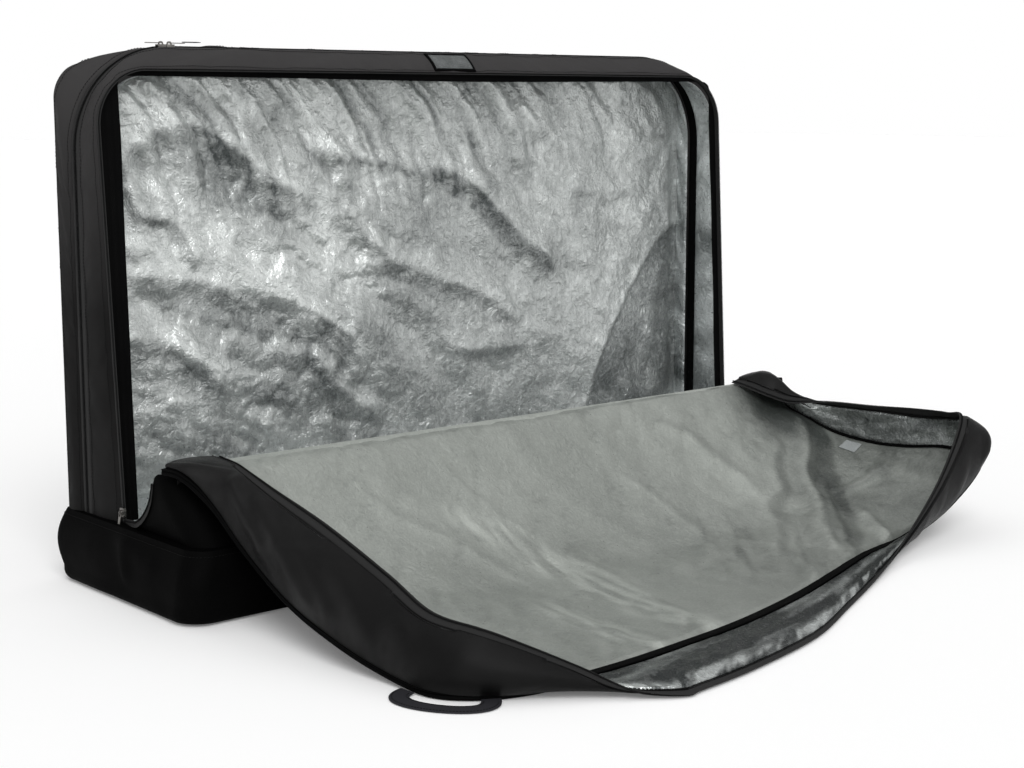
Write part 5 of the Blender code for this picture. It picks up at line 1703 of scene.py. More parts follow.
@dataclass
class FrontWall:
    """The low wall under the fold with its two cheeks, its lining, and the cheeks' zip tapes."""

    corner_radius: float = 0.03
    tip_height: float = 0.006
    foot_radius: float = 0.034
    cheek_steps: int = 26
    corner_steps: int = 12
    front_steps: int = 170
    right_slack: float = 0.042
    rim_drop: float = 0.0013
    rim_slope: float = 0.35
    rise_shares: tuple[Pair, ...] = (
        (0.0, 0.0), (0.3, 0.07), (0.45, 0.18), (0.56, 0.3), (0.66, 0.44), (0.74, 0.6), (0.79, 0.8),
        (0.83, 0.95), (0.88, 1.0), (1.0, 1.0))

    def edges(self, inset: float) -> tuple[Array, Array]:
        """Foot and head lines of left cheek, front and right cheek.

        Along the cheek both lines are straight in plan and the head rises by the table of
        shares; the corners are quarter circles; the front is straight between them.

        Args:
            inset: how far they lie inside the outer face.

        Returns:
            The foot line and the head line.
        """
        start_y = CUT.mouth_foot_y - 0.0005
        head_z = CUT.fold_height - CUT.wall / 2 - CUT.gap
        foot_y = -CUT.depth / 2 + self.foot_radius
        head_y = CUT.fold_y + self.corner_radius
        tip_z = CUT.foot + self.tip_height
        way = start_y - CUT.fold_y
        at, to = np.array(self.rise_shares).T
        share = np.arange(self.cheek_steps) / self.cheek_steps
        foot_x = CUT.mouth_foot_half + (CUT.rim_half - CUT.mouth_foot_half) * share
        foot = np.column_stack([inset - foot_x, start_y + (foot_y - start_y) * share, 0 * share + CUT.foot])
        line_y = start_y + (head_y - start_y) * share
        head_x = CUT.mouth_foot_half + (CUT.flap_half - CUT.mouth_foot_half) * share
        rise = np.interp((start_y - line_y) / way, at, to)
        head = np.column_stack([inset - head_x, line_y, tip_z + (head_z - tip_z) * rise])
        angle = np.linspace(0.0, math.pi / 2, self.corner_steps + 1)
        cos, sin = np.cos(angle), np.sin(angle)
        reach = self.foot_radius - inset
        foot_turn = np.column_stack([-CUT.rim_half + self.foot_radius - reach * cos, foot_y - reach * sin,
                                     0 * angle + CUT.foot])
        reach = self.corner_radius - inset
        rise = np.interp((start_y - head_y + self.corner_radius * sin) / way, at, to)
        head_turn = np.column_stack([-CUT.flap_half + self.corner_radius - reach * cos, head_y - reach * sin,
                                     tip_z + (head_z - tip_z) * rise])
        lines = []
        for left in (np.vstack([foot, foot_turn]), np.vstack([head, head_turn])):
            shares = (np.arange(1, self.front_steps) / self.front_steps)[:, None]
            middle = left[-1] + (left[-1] * MIRROR - left[-1]) * shares
            lines.append(np.vstack([left, middle, left[::-1] * MIRROR]))
        foot, head = lines
        head[:, 0] -= self.right_slack * eased((head[:, 0] - 0.4) / 0.22) * eased((head[:, 2] - tip_z) / 0.12)
        return foot, head

    def wall(self, inset: float, columns: int = 16) -> Array:
        """The wall's surface, ruled from foot to head; its rim slopes down inwards.

        Args:
            inset: how far it lies inside the outer face.
            columns: places from foot to head.

        Returns:
            The grid.
        """
        foot, head = self.edges(inset)
        head[:, 2] -= self.rim_drop + self.rim_slope * inset
        return between(foot, head, ramp(columns))

    def build(self) -> None:
        """Make the padded wall, its lining and the two tapes."""
        outer = self.wall(0.0)
        inside = np.array([0.0, 0.05, 0.15])
        s = ramp(outer.shape[1])[None, :]
        height = np.clip((outer[:, -1, 2] - CUT.foot) / 0.09, 0.0, 1.0)[:, None]
        along = arc_lengths(outer[:, 0])[:, None] + 0 * s
        up = s * 0.1 + 0 * along
        puff = hump(s) * height * (0.003 + 0.0016 * clouds(along, up, 0.07, 101, 3))
        outer = outer + outward(outer, inside) * puff[..., None]
        piece = slab("front_wall_padded", outer, self.wall(CUT.padding), Finish.BOOT)
        dressed(piece, "shell", "shell_cloth", "front_wall_outer", "front_wall_foam")
        face = self.wall(CUT.wall)
        relief = 0.002 * (1 - crumple(along, up, 0.04, 103)) * hump(s) * height
        face = face - outward(face, inside) * np.maximum(relief, 0)[..., None]
        lining = slab("front_wall_lining_cloth", face, self.wall(CUT.wall - CUT.lining),
                      Finish.SIDE_SILVER, tone=0.2 + 0 * along)
        dressed(lining, "shell", "silver_lining", "front_wall_lining")
        self.tapes()

    def tapes(self) -> None:
        """The zip tapes along the free edge of each cheek, with their teeth on the outer face."""
        count = self.cheek_steps + 1
        inner, outer = (self.edges(-depth)[1][:count] for depth in (CUT.gap, CUT.gap + CUT.tape))
        drop = np.minimum(CUT.mouth_tape, inner[:, 2] - CUT.foot)[:, None]
        shares = ramp(5)
        low_in, low_out = inner - UP * drop, outer - UP * drop
        across = unit(low_out - outer)
        away = np.tile([-1.0, 0.0, 0.0], (count, 1))
        for side, turn in (("left", np.ones(3)), ("right", MIRROR)):
            tape = slab("cheek_tape_" + side, between(outer, low_out, shares) * turn,
                        between(inner, low_in, shares) * turn, Finish.TAPE)
            dressed(tape, "shell", "zip_tape", "cheek_zip_tape_" + side)
            zip_teeth("cheek_teeth_" + side, (outer + across * 0.002) * turn, across * turn, away * turn,
                      TOOTH_LENGTH, "shell")


@dataclass
class Flap:
    """The unzipped front flap: padded panel, wrinkled lining, piping, gusset, zip and label."""

    reach: float = 0.573
    gusset_width: float = 0.14
    play: float = 0.0003
    steps: int = 18
    gusset_columns: int = 22
    smoothings: int = 6
    left_corner: int = 8
    right_corner: int = 19
    hem: float = 0.0198
    ribbon: float = 0.0205
    cloth_end: float = 0.015
    binding_width: float = 0.0145
    tallest: float = 0.016
    seam_shares: tuple[Triple, ...] = (
        (-1.0, 0.0, 1.0), (-0.985, 0.06, 0.975), (-0.947, 0.12, 0.793), (-0.927, 0.215, 0.546),
        (-0.926, 0.4, 0.297), (-0.924, 0.59, 0.155), (-0.905, 0.74, 0.053), (-0.893, 0.86, 0.022),
        (-0.855, 0.925, 0.022), (-0.79, 0.97, 0.022), (-0.7, 0.992, 0.022), (-0.52, 0.993, 0.022),
        (-0.34, 0.976, 0.022), (-0.13, 0.945, 0.022), (0.11, 0.88, 0.022), (0.33, 0.797, 0.022),
        (0.53, 0.72, 0.022), (0.72, 0.688, 0.05), (0.87, 0.703, 0.24), (0.975, 0.72, 0.56),
        (0.985, 0.6, 0.605), (0.971, 0.47, 0.565), (0.954, 0.35, 0.56), (0.923, 0.23, 0.62),
        (0.882, 0.15, 0.745), (0.872, 0.1, 0.815), (0.89, 0.05, 0.925), (0.93, 0.0, 1.0))
    free_shares: tuple[Triple, ...] = (
        (0.66, 0.0, 0.06), (0.62, 0.0, 0.06), (0.4, -0.04, 0.304), (0.32, -0.08, 0.558), (0.3, -0.2, 0.743),
        (0.31, -0.32, 0.669), (0.24, -0.3, 0.605), (0.39, -0.22, 0.553), (0.48, -0.2, 0.42),
        (0.5, -0.36, 0.24), (0.38, -0.64, 0.06), (-0.1, -0.89, 0.0), (-0.7, -0.95, 0.0), (-0.9, -0.98, 0.0),
        (-0.85, -0.98, 0.0), (-0.8, -0.85, 0.0), (-0.72, -0.72, 0.03), (-0.7, -0.48, 0.16),
        (-0.52, -0.22, 0.42), (-0.27, 0.12, 0.52), (-0.08, 0.01, 0.46), (0.0, -0.1, 0.51),
        (-0.13, -0.09, 0.51), (-0.175, -0.04, 0.42), (-0.24, -0.01, 0.2), (-0.42, -0.04, 0.18),
        (-0.64, -0.02, 0.11), (-0.89, 0.0, 0.06))
    belly_shares: tuple[Triple, ...] = (
        (0.0, 0.0, 0.122), (-0.02, 0.0, 0.175), (-0.05, 0.0, 0.33), (-0.06, -0.02, 0.5), (-0.09, -0.06, 0.5),
        (-0.1, -0.1, 0.46), (-0.12, -0.14, 0.42), (-0.1, -0.2, 0.36), (-0.06, -0.26, 0.3), (0.06, -0.34, 0.2),
        (0.12, -0.38, 0.06), (-0.02, -0.46, 0.0), (-0.34, -0.48, 0.0), (-0.44, -0.5, 0.0), (-0.42, -0.5, 0.0),
        (-0.4, -0.44, 0.0), (-0.35, -0.38, 0.02), (-0.28, -0.34, 0.12), (-0.1, -0.26, 0.28),
        (0.12, -0.16, 0.32), (0.18, -0.06, 0.3), (0.18, -0.04, 0.32), (0.18, -0.02, 0.34), (0.1, 0.0, 0.34),
        (-0.16, 0.02, 0.47), (-0.26, 0.02, 0.66), (-0.3, 0.02, 0.48), (-0.42, 0.0, 0.2))
    pleats: tuple[Fold, ...] = (
        Fold(((0.2, 0.08), (0.24, 0.062), (0.3, 0.044), (0.35, 0.028), (0.39, 0.01)), 0.01, 0.016, 0.009),
        Fold(((0.29, 0.08), (0.35, 0.056), (0.41, 0.034), (0.47, 0.01)), 0.01, 0.02, 0.008),
        Fold(((0.345, 0.082), (0.4, 0.06), (0.45, 0.038), (0.5, 0.016)), 0.01, 0.022, 0.006),
        Fold(((0.43, 0.082), (0.5, 0.056), (0.57, 0.024)), 0.012, 0.024, 0.005),
        Fold(((0.56, 0.082), (0.62, 0.056), (0.68, 0.02)), 0.012, 0.024, 0.005),
        Fold(((0.68, 0.08), (0.74, 0.05), (0.79, 0.016)), 0.012, 0.022, 0.004),
        Fold(((1.86, 0.02), (1.93, 0.05), (1.98, 0.08)), 0.012, 0.022, 0.005),
        Fold(((1.96, 0.016), (2.06, 0.046), (2.14, 0.078)), 0.012, 0.022, 0.005),
    )
    valley_shares: tuple[Pair, ...] = (
        (0.0, 1.0), (0.05, 0.905), (0.1, 0.745), (0.15, 0.6), (0.23, 0.42), (0.32, 0.25), (0.44, 0.11),
        (0.6, 0.04), (0.74, 0.022), (0.86, 0.022), (1.0, 0.022))
    folds: tuple[Fold, ...] = (
        Fold(((0.275, -0.569), (0.32, -0.484), (0.421, -0.369), (0.463, -0.308), (0.53, -0.231),
             (0.56, -0.177), (0.55, -0.135)), 0.03, 0.014, 0.009, 0.42, 0.07, 0.2),
        Fold(((0.17, -0.503), (0.303, -0.379), (0.354, -0.324), (0.417, -0.267), (0.457, -0.236),
             (0.48, -0.19)), 0.03, 0.014, 0.005, 0.3, 0.03, 0.12),
        Fold(((0.28, -0.573), (0.373, -0.459), (0.462, -0.362), (0.5, -0.32)), 0.018, 0.01, 0.005, 0.25,
             0.018, 0.2),
        Fold(((0.43, -0.545), (0.438, -0.503), (0.48, -0.416)), 0.014, 0.01, 0.004, 0.25, 0.016, 0.15),
        Fold(((0.47, -0.372), (0.544, -0.373), (0.604, -0.366)), 0.012, 0.009, 0.004, 0.25, 0.014, 0.2),
        Fold(((0.04, -0.54), (0.066, -0.48), (0.104, -0.41), (0.14, -0.38)), 0.012, 0.008, 0.003, 0.2, 0.012,
             0.15),
        Fold(((0.081, -0.552), (0.164, -0.421), (0.2, -0.38)), 0.013, 0.009, 0.003, 0.22, 0.012, 0.15),
        Fold(((0.115, -0.617), (0.233, -0.489), (0.307, -0.409), (0.35, -0.36)), 0.016, 0.01, 0.004, 0.25,
             0.016, 0.2),
        Fold(((-0.157, -0.68), (-0.137, -0.612), (-0.107, -0.486), (-0.104, -0.4), (-0.122, -0.3)), 0.04,
             0.025, 0.004, 0.12, 0.03, 0.22),
        Fold(((-0.128, -0.296), (-0.18, -0.221), (-0.25, -0.15)), 0.026, 0.014, 0.003, 0.12, 0.018, 0.08),
        Fold(((-0.22, -0.4), (-0.262, -0.297), (-0.329, -0.221), (-0.4, -0.15)), 0.03, 0.018, 0.003, 0.12,
             0.02, 0.08),
        Fold(((0.1, -0.45), (0.151, -0.356), (0.136, -0.261), (0.082, -0.18)), 0.03, 0.016, 0.003, 0.14, 0.02,
             0.08),
        Fold(((-0.256, -0.62), (-0.274, -0.502), (-0.285, -0.391)), 0.026, 0.016, 0.003, 0.12, 0.018, 0.1),
        Fold(((0.34, -0.34), (0.352, -0.279), (0.314, -0.2), (0.211, -0.15)), 0.026, 0.014, 0.004, 0.2, 0.02,
             0.1),
    )

    @property
    def piping_radius(self) -> float:
        """Half the panel's thickness."""
        return CUT.wall / 2

    def seam(self) -> Array:
        """The seam's line round the flap, through its stations, never under the floor.

        Returns:
            Rows of places from the fold's left end to its right end.
        """
        shares = np.array(self.seam_shares)
        places = np.column_stack([shares[:, 0] * CUT.flap_half, CUT.fold_y - shares[:, 1] * self.reach,
                                  shares[:, 2] * CUT.fold_height])
        line = path_through(places, self.steps)
        line[:, 2] = np.maximum(line[:, 2], self.piping_radius + self.play)
        return line

    def gusset_lines(self) -> tuple[Array, Array, Array]:
        """Three lines of the gusset, each the seam plus a table's shares of its width.

        Returns:
            Seam, fullest line and free edge.
        """
        seam = self.seam()
        low = max(CUT.gusset_wall / 2, CUT.tape / 2 + 0.0005 + CUT.coil_height) + self.play
        lines = [seam]
        for table in (self.belly_shares, self.free_shares):
            line = seam + path_through(table, self.steps) * self.gusset_width
            line[:, 2] = np.maximum(line[:, 2], low)
            lines.append(line)
        return tuple(lines)

    def across_gusset(self, share: Array) -> Array:
        """Points of the gusset's quadratic curve (1-s)^2 seam + 2s(1-s) belly + s^2 free.

        Args:
            share: rows x columns of s.

        Returns:
            The grid of points.
        """
        seam, belly, free = (line[:, None, :] for line in self.gusset_lines())
        s = share[..., None]
        return (1 - s) ** 2 * seam + 2 * s * (1 - s) * belly + s ** 2 * free

    def gusset_grids(self) -> tuple[Array, Array, Array]:
        """Parts of the gusset's curve: cloth, lining and tape end at their own distances from the edge.

        Returns:
            Middle surfaces of the cloth, of its shorter lining and of the zip tape.
        """
        seam, belly, free = self.gusset_lines()
        tangent = unit(np.gradient(seam, axis=0))
        leg = belly - seam
        near = 2 * np.linalg.norm(leg - tangent * np.sum(leg * tangent, axis=1, keepdims=True), axis=1)
        far = 2 * np.linalg.norm(free - belly, axis=1)
        start = (self.piping_radius + 0.0025) / near
        shares = ramp(self.gusset_columns)[None, :]
        cloth, lining = (self.across_gusset(start[:, None] + (end - start)[:, None] * shares)
                         for end in (1.0 - self.cloth_end / far, 1.0 - self.hem / far))
        start = 1.0 - self.ribbon / far
        tape = self.across_gusset(start[:, None] + (1 - start)[:, None] * ramp(6)[None, :])
        return cloth, lining, tape

    def edges(self) -> tuple[Array, Array, Array]:
        """The panel's edges, drawn in from the seam by the piping's radius.

        Returns:
            Left, far and right edge, the first and last of them away from the fold.
        """
        seam = self.seam()
        tangent = unit(np.gradient(seam, axis=0))
        inset = self.piping_radius + CUT.gap
        rim = seam + unit(np.cross(UP, tangent)) * inset
        rim[0] = seam[0] + np.array([inset, 0.0, 0.0])
        rim[-1] = seam[-1] - np.array([inset, 0.0, 0.0])
        left, right = self.left_corner * self.steps, self.right_corner * self.steps
        return rim[:left + 1], rim[left:right + 1], rim[right:][::-1]

    def surface(self) -> Array:
        """Middle surface of the panel.

        In plan it is the Coons patch of its four edges. Its height is the valley's curve,
        lifted to the side edges by (1-s)^5 and s^7 and to the far edge by t^5. The valley's
        table is smoothed by the mean of 21 neighbours, with its start carried on uphill.

        Returns:
            The grid, rows away from the fold, columns to the right.
        """
        left, far, right = self.edges()
        t = np.linspace(0.0, 1.0, len(left))[:, None]
        s = np.linspace(0.0, 1.0, len(far))[None, :]
        fold = left[0] + (right[0] - left[0]) * s.T
        t3, s3 = t[..., None], s[..., None]
        patch = (left[:, None] * (1 - s3) + right[:, None] * s3 + fold[None] * (1 - t3) + far[None] * t3
                 - (left[0] * (1 - s3) + right[0] * s3) * (1 - t3)
                 - (left[-1] * (1 - s3) + right[-1] * s3) * t3)
        at, to = np.array(self.valley_shares).T
        smooth_at = np.linspace(0.0, 1.3, 400)
        smooth_to = np.interp(smooth_at, at, to)
        reach = 10
        padded = np.concatenate([np.full(reach, smooth_to[0]) + np.arange(reach, 0, -1) * 0.006, smooth_to,
                                 np.full(reach, smooth_to[-1])])
        smooth_to = np.convolve(padded, np.ones(2 * reach + 1) / (2 * reach + 1), "valid")
        valley = np.interp((CUT.fold_y - patch[..., 1]) / self.reach, smooth_at, smooth_to) * CUT.fold_height
        height = (valley + (left[:, None, 2] - valley[:, :1]) * (1 - s) ** 5
                  + (right[:, None, 2] - valley[:, -1:]) * s ** 7)
        height = height + (far[None, :, 2] - height[-1:, :]) * t ** 5
        patch[..., 2] = np.maximum(height, self.piping_radius + self.play)
        patch[0] = fold
        return patch

    def panel_normals(self, surface: Array) -> Array:
        """Upward unit normals, kept upright along the fold and square to each rim.

        Args:
            surface: the panel's middle surface.

        Returns:
            A normal for each point.
        """
        normals = grid_normals(surface)
        normals *= np.sign(normals[..., 2:3].mean())
        normals[0] = UP
        for rim in (np.s_[1:, 0], np.s_[1:, -1], np.s_[-1, :]):
            tangent = unit(np.gradient(surface[rim], axis=0))
            normals[rim] = unit(UP - tangent * tangent[:, 2:])
        return normals

    def streaks(self, x: Array, y: Array, t: Array, s: Array) -> tuple[Array, Array]:
        """Painted highlight bands with streaks along them: one down the middle, one on its left, one on the
        rim.

        Args:
            x: place along the bag.
            y: depth.
            t: share of the way from the fold.
            s: share of the way from the left.

        Returns:
            Their height and their shade.
        """
        noise = clouds(x, y * 0.2, 0.012, 129, 3)
        centre = np.interp(-y, (0.218, 0.3, 0.43, 0.64), (-0.254, -0.17, -0.138, -0.145))
        band = bell(x - centre, 0.035) * eased((-0.2 - y) / 0.08)
        band += 0.8 * bell(x + 0.255, 0.03) * eased((-0.42 - y) / 0.08)
        band += 0.5 * bell(s, 0.06) * eased((t - 0.35) / 0.25)
        # The shade is a painted highlight; the height is the streaks' small relief.
        return 0.003 * band * np.abs(noise), -band * np.clip(0.22 + 0.9 * noise, -0.05, 0.8)

    def painted_shade_marks(self, x: Array, y: Array) -> Array:
        """Painted shadow beside the right hump, painted shade to its right, and two fields of short dark
        dashes of painted crease shade.

        Args:
            x: place along the bag.
            y: depth.

        Returns:
            A shade for each point.
        """
        # Painted shadow below the right hump.
        patch = spot(x, y, (0.53, -0.18), (0.06, 0.05))
        shade = 0.85 * patch + 0.25 * eased((x - 0.5) / 0.08) * eased((y + 0.3) / 0.12)
        dashes = clouds(0.81 * x - 0.58 * y, (0.58 * x + 0.81 * y) * 0.22, 0.02, 133, 2)
        around = spot(x, y, (0.15, -0.4), (0.12, 0.13)) + spot(x, y, (0.38, -0.2), (0.06, 0.05))
        return shade + 0.9 * around * np.clip(dashes - 0.35, 0.0, 0.4)

    def lining_relief(self, surface: Array) -> tuple[Array, Array]:
        """Height of the lining over the foam and its painted shade.

        Sum of the listed folds, faint drag lines from the fold to the far edge, sharp
        creases |noise| along them, three sizes of flat facets and the streaked bands; nothing
        at the seams. The shade follows them and the slopes, and has the painted shadow and
        the dark dashes.

        Args:
            surface: the panel's middle surface.

        Returns:
            Heights in metres and shades in 0..1.
        """
        x, y = surface[..., 0], surface[..., 1]
        warp_x = x + 0.012 * clouds(x, y, 0.08, 111, 2)
        warp_y = y + 0.012 * clouds(x, y, 0.08, 113, 2)
        height, shade = np.zeros_like(x), np.zeros_like(x)
        for fold in self.folds:
            rise, dark = fold.relief(warp_x, warp_y)
            height += rise
            # Painted shade below each fold's crest and painted highlight along it.
            shade += dark
        drag = clouds(warp_x * 0.9 + 0.45 * warp_y, warp_y * 0.18, 0.035, 117, 3)
        height += 0.0022 + 0.001 * drag
        crisp = np.abs(clouds(0.8 * x - 0.6 * y, (0.6 * x + 0.8 * y) * 0.3, 0.04, 119, 3))
        broken = eased(clouds(x, y, 0.09, 115, 2) + 0.35)
        height += 0.003 * crisp * broken
        # Painted shade in the sharp creases, lighter on their raised sides.
        shade += 0.16 * broken * bell(crisp, 0.05) - 0.06 * broken * crisp
        right = eased((x + 0.05) / 0.5)
        large, middle = facets(warp_x, warp_y * 0.6, 0.1, 121), facets(warp_x, warp_y * 0.7, 0.038, 123)
        height += 0.0022 * large * (0.5 + 0.8 * right) + 0.0013 * middle * (0.35 + right)
        height += 0.0006 * facets(warp_x, warp_y, 0.018, 125) * (0.3 + right)
        shade += 0.2 + 0.1 * clouds(warp_x * 0.8 + 0.3 * warp_y, warp_y * 0.3, 0.12, 127, 4)
        # Painted shade that follows the facets and the drag lines, and painted shade towards the right.
        shade += 0.05 * large + 0.1 * middle * right + 0.06 * drag + 0.34 * eased((x - 0.34) / 0.16)
        # Lighter near the fold.
        shade -= 0.1 * eased((0.3 - (CUT.fold_y - y)) / 0.3)
        # Painted shade by slope: darker where the lining rises towards the right.
        shade += 0.9 * np.gradient(height, axis=1) / np.gradient(x, axis=1) * (1 - 0.5 * right)
        t, s = ramp(len(x))[:, None], ramp(x.shape[1])[None, :]
        rise, dark = self.streaks(x, y, t, s)
        height += rise
        # Painted highlights on the streaked bands, lighter towards the far edge on the left, and the painted
        # shadow and dark dashes.
        shade += dark - 0.08 * eased((t - 0.45) / 0.4) * eased((0.75 - s) / 0.3) + self.painted_shade_marks(x, y)
        border = eased(t / 0.05) * eased((1 - t) / 0.04) * eased(s / 0.02) * eased((1 - s) / 0.02)
        return np.clip(height, 0.0, self.tallest) * border, np.clip(0.24 + 0.71 * shade, 0.0, 1.0)

    def build(self) -> None:
        """Make every piece of the flap."""
        surface = self.surface()
        normals = self.panel_normals(surface)
        half = CUT.wall / 2
        under = surface - normals * half
        ripple = 0.0012 * clouds(surface[..., 0], surface[..., 1], 0.09, 131, 3)
        high = np.clip((surface[..., 2] - 0.03) / 0.05, 0.0, 1.0)
        under = under - normals * (np.maximum(ripple, -0.0005) * high)[..., None]
        panel = slab("flap_panel_padded", under, surface + normals * (CUT.padding - half), Finish.FLAP_SHELL)
        dressed(panel, "flap", "shell_cloth", "flap_outer", "flap_foam")
        height, shade = self.lining_relief(surface)
        base = surface + normals * (half - CUT.lining)
        lining = slab("flap_lining_cloth", surface + normals * (half + height)[..., None], base,
                      Finish.FLAP_FILM, tone=shade)
        dressed(lining, "flap", "flap_lining", "flap_lining")
        self.build_seam()
        self.build_gusset()
        self.build_label(surface, normals)

    def build_seam(self) -> None:
        """The piping, and the flat binding over the seam on the inner side."""
        seam = self.seam()
        tangent = unit(np.gradient(seam, axis=0))
        side = unit(np.cross(tangent, UP))
        over = np.cross(side, tangent)
        angle = np.arange(12) * math.tau / 12
        ring = self.piping_radius * np.column_stack([np.cos(angle), np.sin(angle)])
        piping = swept("flap_corded_piping", seam, side, over, ring, Finish.BINDING)
        dressed(piping, "flap", "zip_tape", "flap_piping")
        line = seam - side * 0.0012 + over * (self.piping_radius + 0.0004)
        line[0] += tangent[0] * 0.001
        strip = swept("flap_seam_binding", line, side, over,
                      rounded_bar(self.binding_width, 2 * CUT.binding, 12), Finish.BINDING)
        dressed(strip, "flap", "zip_tape")

    def build_gusset(self) -> None:
        """The gusset's padded outer, its lining, the zip tape and its teeth."""
        cloth, inside, tape = self.gusset_grids()
        joined = np.concatenate([cloth, tape], axis=1)
        normals = grid_normals(joined)
        for _ in range(self.smoothings):
            padded = np.concatenate([normals[:1], normals, normals[-1:]])
            normals = unit(padded[:-2] + 2 * padded[1:-1] + padded[2:])
        count = self.gusset_columns
        n, tape_n = normals[:, :count], normals[:, count:]
        s = ramp(count)[None, :]
        along = arc_lengths(cloth[:, count // 2])[:, None] + 0 * s
        width = np.linalg.norm(np.diff(cloth, axis=1), axis=-1).sum(axis=1)[:, None] * s
        half = CUT.gusset_wall / 2
        envelope = hump(np.clip(s * 0.92 + 0.04, 0, 1))
        long_folds = np.maximum(clouds(along - 1.6 * width, width * 0.25, 0.055, 141, 2), 0.0)
        puckers = clouds(along, width * 0.4, 0.016, 143, 2) * np.exp(-3.5 * s) * hump(s, 0.5)
        station = np.arange(len(cloth))[:, None] / self.steps * 0.1 + 0 * s
        pleated = sum(fold.relief(station, 0.09 * s + 0 * station)[0] for fold in self.pleats)
        calm = 1.0 - 0.9 * eased((station - 0.6) / 0.05) * eased((0.91 - station) / 0.05)
        puff = calm * (envelope * (0.0012 + 0.0042 * long_folds + pleated) + 0.0022 * puckers)
        lifted = np.maximum(cloth[..., 2:] - half - 0.004, 0.0) / 0.02
        outer_face = cloth + n * (half + puff[..., None] * np.clip(lifted, 0.0, 1.0))
        outer_face[..., 2] = np.maximum(outer_face[..., 2], 0.0002)
        outer = slab("flap_gusset_padded", outer_face,
                     cloth + n * (half - CUT.cloth - CUT.gap - CUT.gusset_foam), Finish.FLAP_SHELL)
        dressed(outer, "flap", "shell_cloth", "flap_gusset_outer", "flap_gusset_foam")
        relief = (0.005 + 0.003 * facets(along * 0.5, width, 0.045, 151)
                  + 0.0022 * facets(along, width, 0.02, 153)) * hump(s, 0.5)
        # Painted highlights near the free edge on the far side; the far side is darker overall, with random
        # tone.
        glints = np.maximum(clouds(along, width * 0.5, 0.022, 159, 3) + 0.25, 0.0)
        far_side = eased((station - 0.7) / 0.1) * eased((1.95 - station) / 0.1)
        tone = 0.52 + 0.4 * far_side + (0.24 + 0.26 * far_side) * clouds(along * 0.3, width, 0.045, 157, 4)
        tone = tone - far_side * 1.6 * glints * bell(s - 0.9, 0.1)
        lining = slab("flap_gusset_lining_cloth", inside - n * (half + relief[..., None]),
                      inside - n * (half - CUT.lining), Finish.GUSSET_FILM, tone=tone)
        dressed(lining, "flap", "flap_lining", "flap_gusset_lining")
        crown = np.array([0.3, 0.7, 0.7, 0.6, 0.5, 0.2]) * 0.001
        ribbon = slab("flap_zip_ribbon", tape + tape_n * (CUT.tape / 2 + 0.0001),
                      tape - tape_n * (CUT.tape / 2 + crown)[None, :, None], Finish.TAPE)
        dressed(ribbon, "flap", "zip_tape", "flap_zip_tape")
        across = unit(tape[:, -1] - tape[:, 0])
        teeth = zip_teeth("flap_teeth", tape[:, -2] + tape_n[:, -2] * (CUT.tape / 2 + THREAD_LIFT), across,
                          tape_n[:, -2], TOOTH_LENGTH, "flap")
        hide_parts("flap_zip_coil")
        row = cloth[:, -1] * 0.85 + cloth[:, -2] * 0.15
        seam_stitches("flap_zip_stitches", row + n[:, -1] * (half + THREAD_LIFT), n[:, -1], "flap")

    def build_label(self, surface: Array, normals: Array) -> None:
        """A small blank care label, sewn in at the right seam and lying on the lining.

        Args:
            surface: the panel's middle surface.
            normals: its normals.
        """
        rows = slice(80, 88)
        columns = np.linspace(0.962, 0.99, 8) * (surface.shape[1] - 1)
        lowest = np.minimum(columns.astype(int), surface.shape[1] - 2)
        share = (columns - lowest)[None, :, None]

        def lying(depth: Array) -> Array:
            """The strip at a height over the lining."""
            layer = surface + normals * (CUT.wall / 2 + depth)[..., None]
            return layer[rows][:, lowest] * (1 - share) + layer[rows][:, lowest + 1] * share

        height, _ = self.lining_relief(surface)
        low = height + 0.001
        label = slab("care_label_satin", lying(low + 0.0005), lying(low), Finish.LABEL)
        dressed(label, "flap", "label", "care_label")


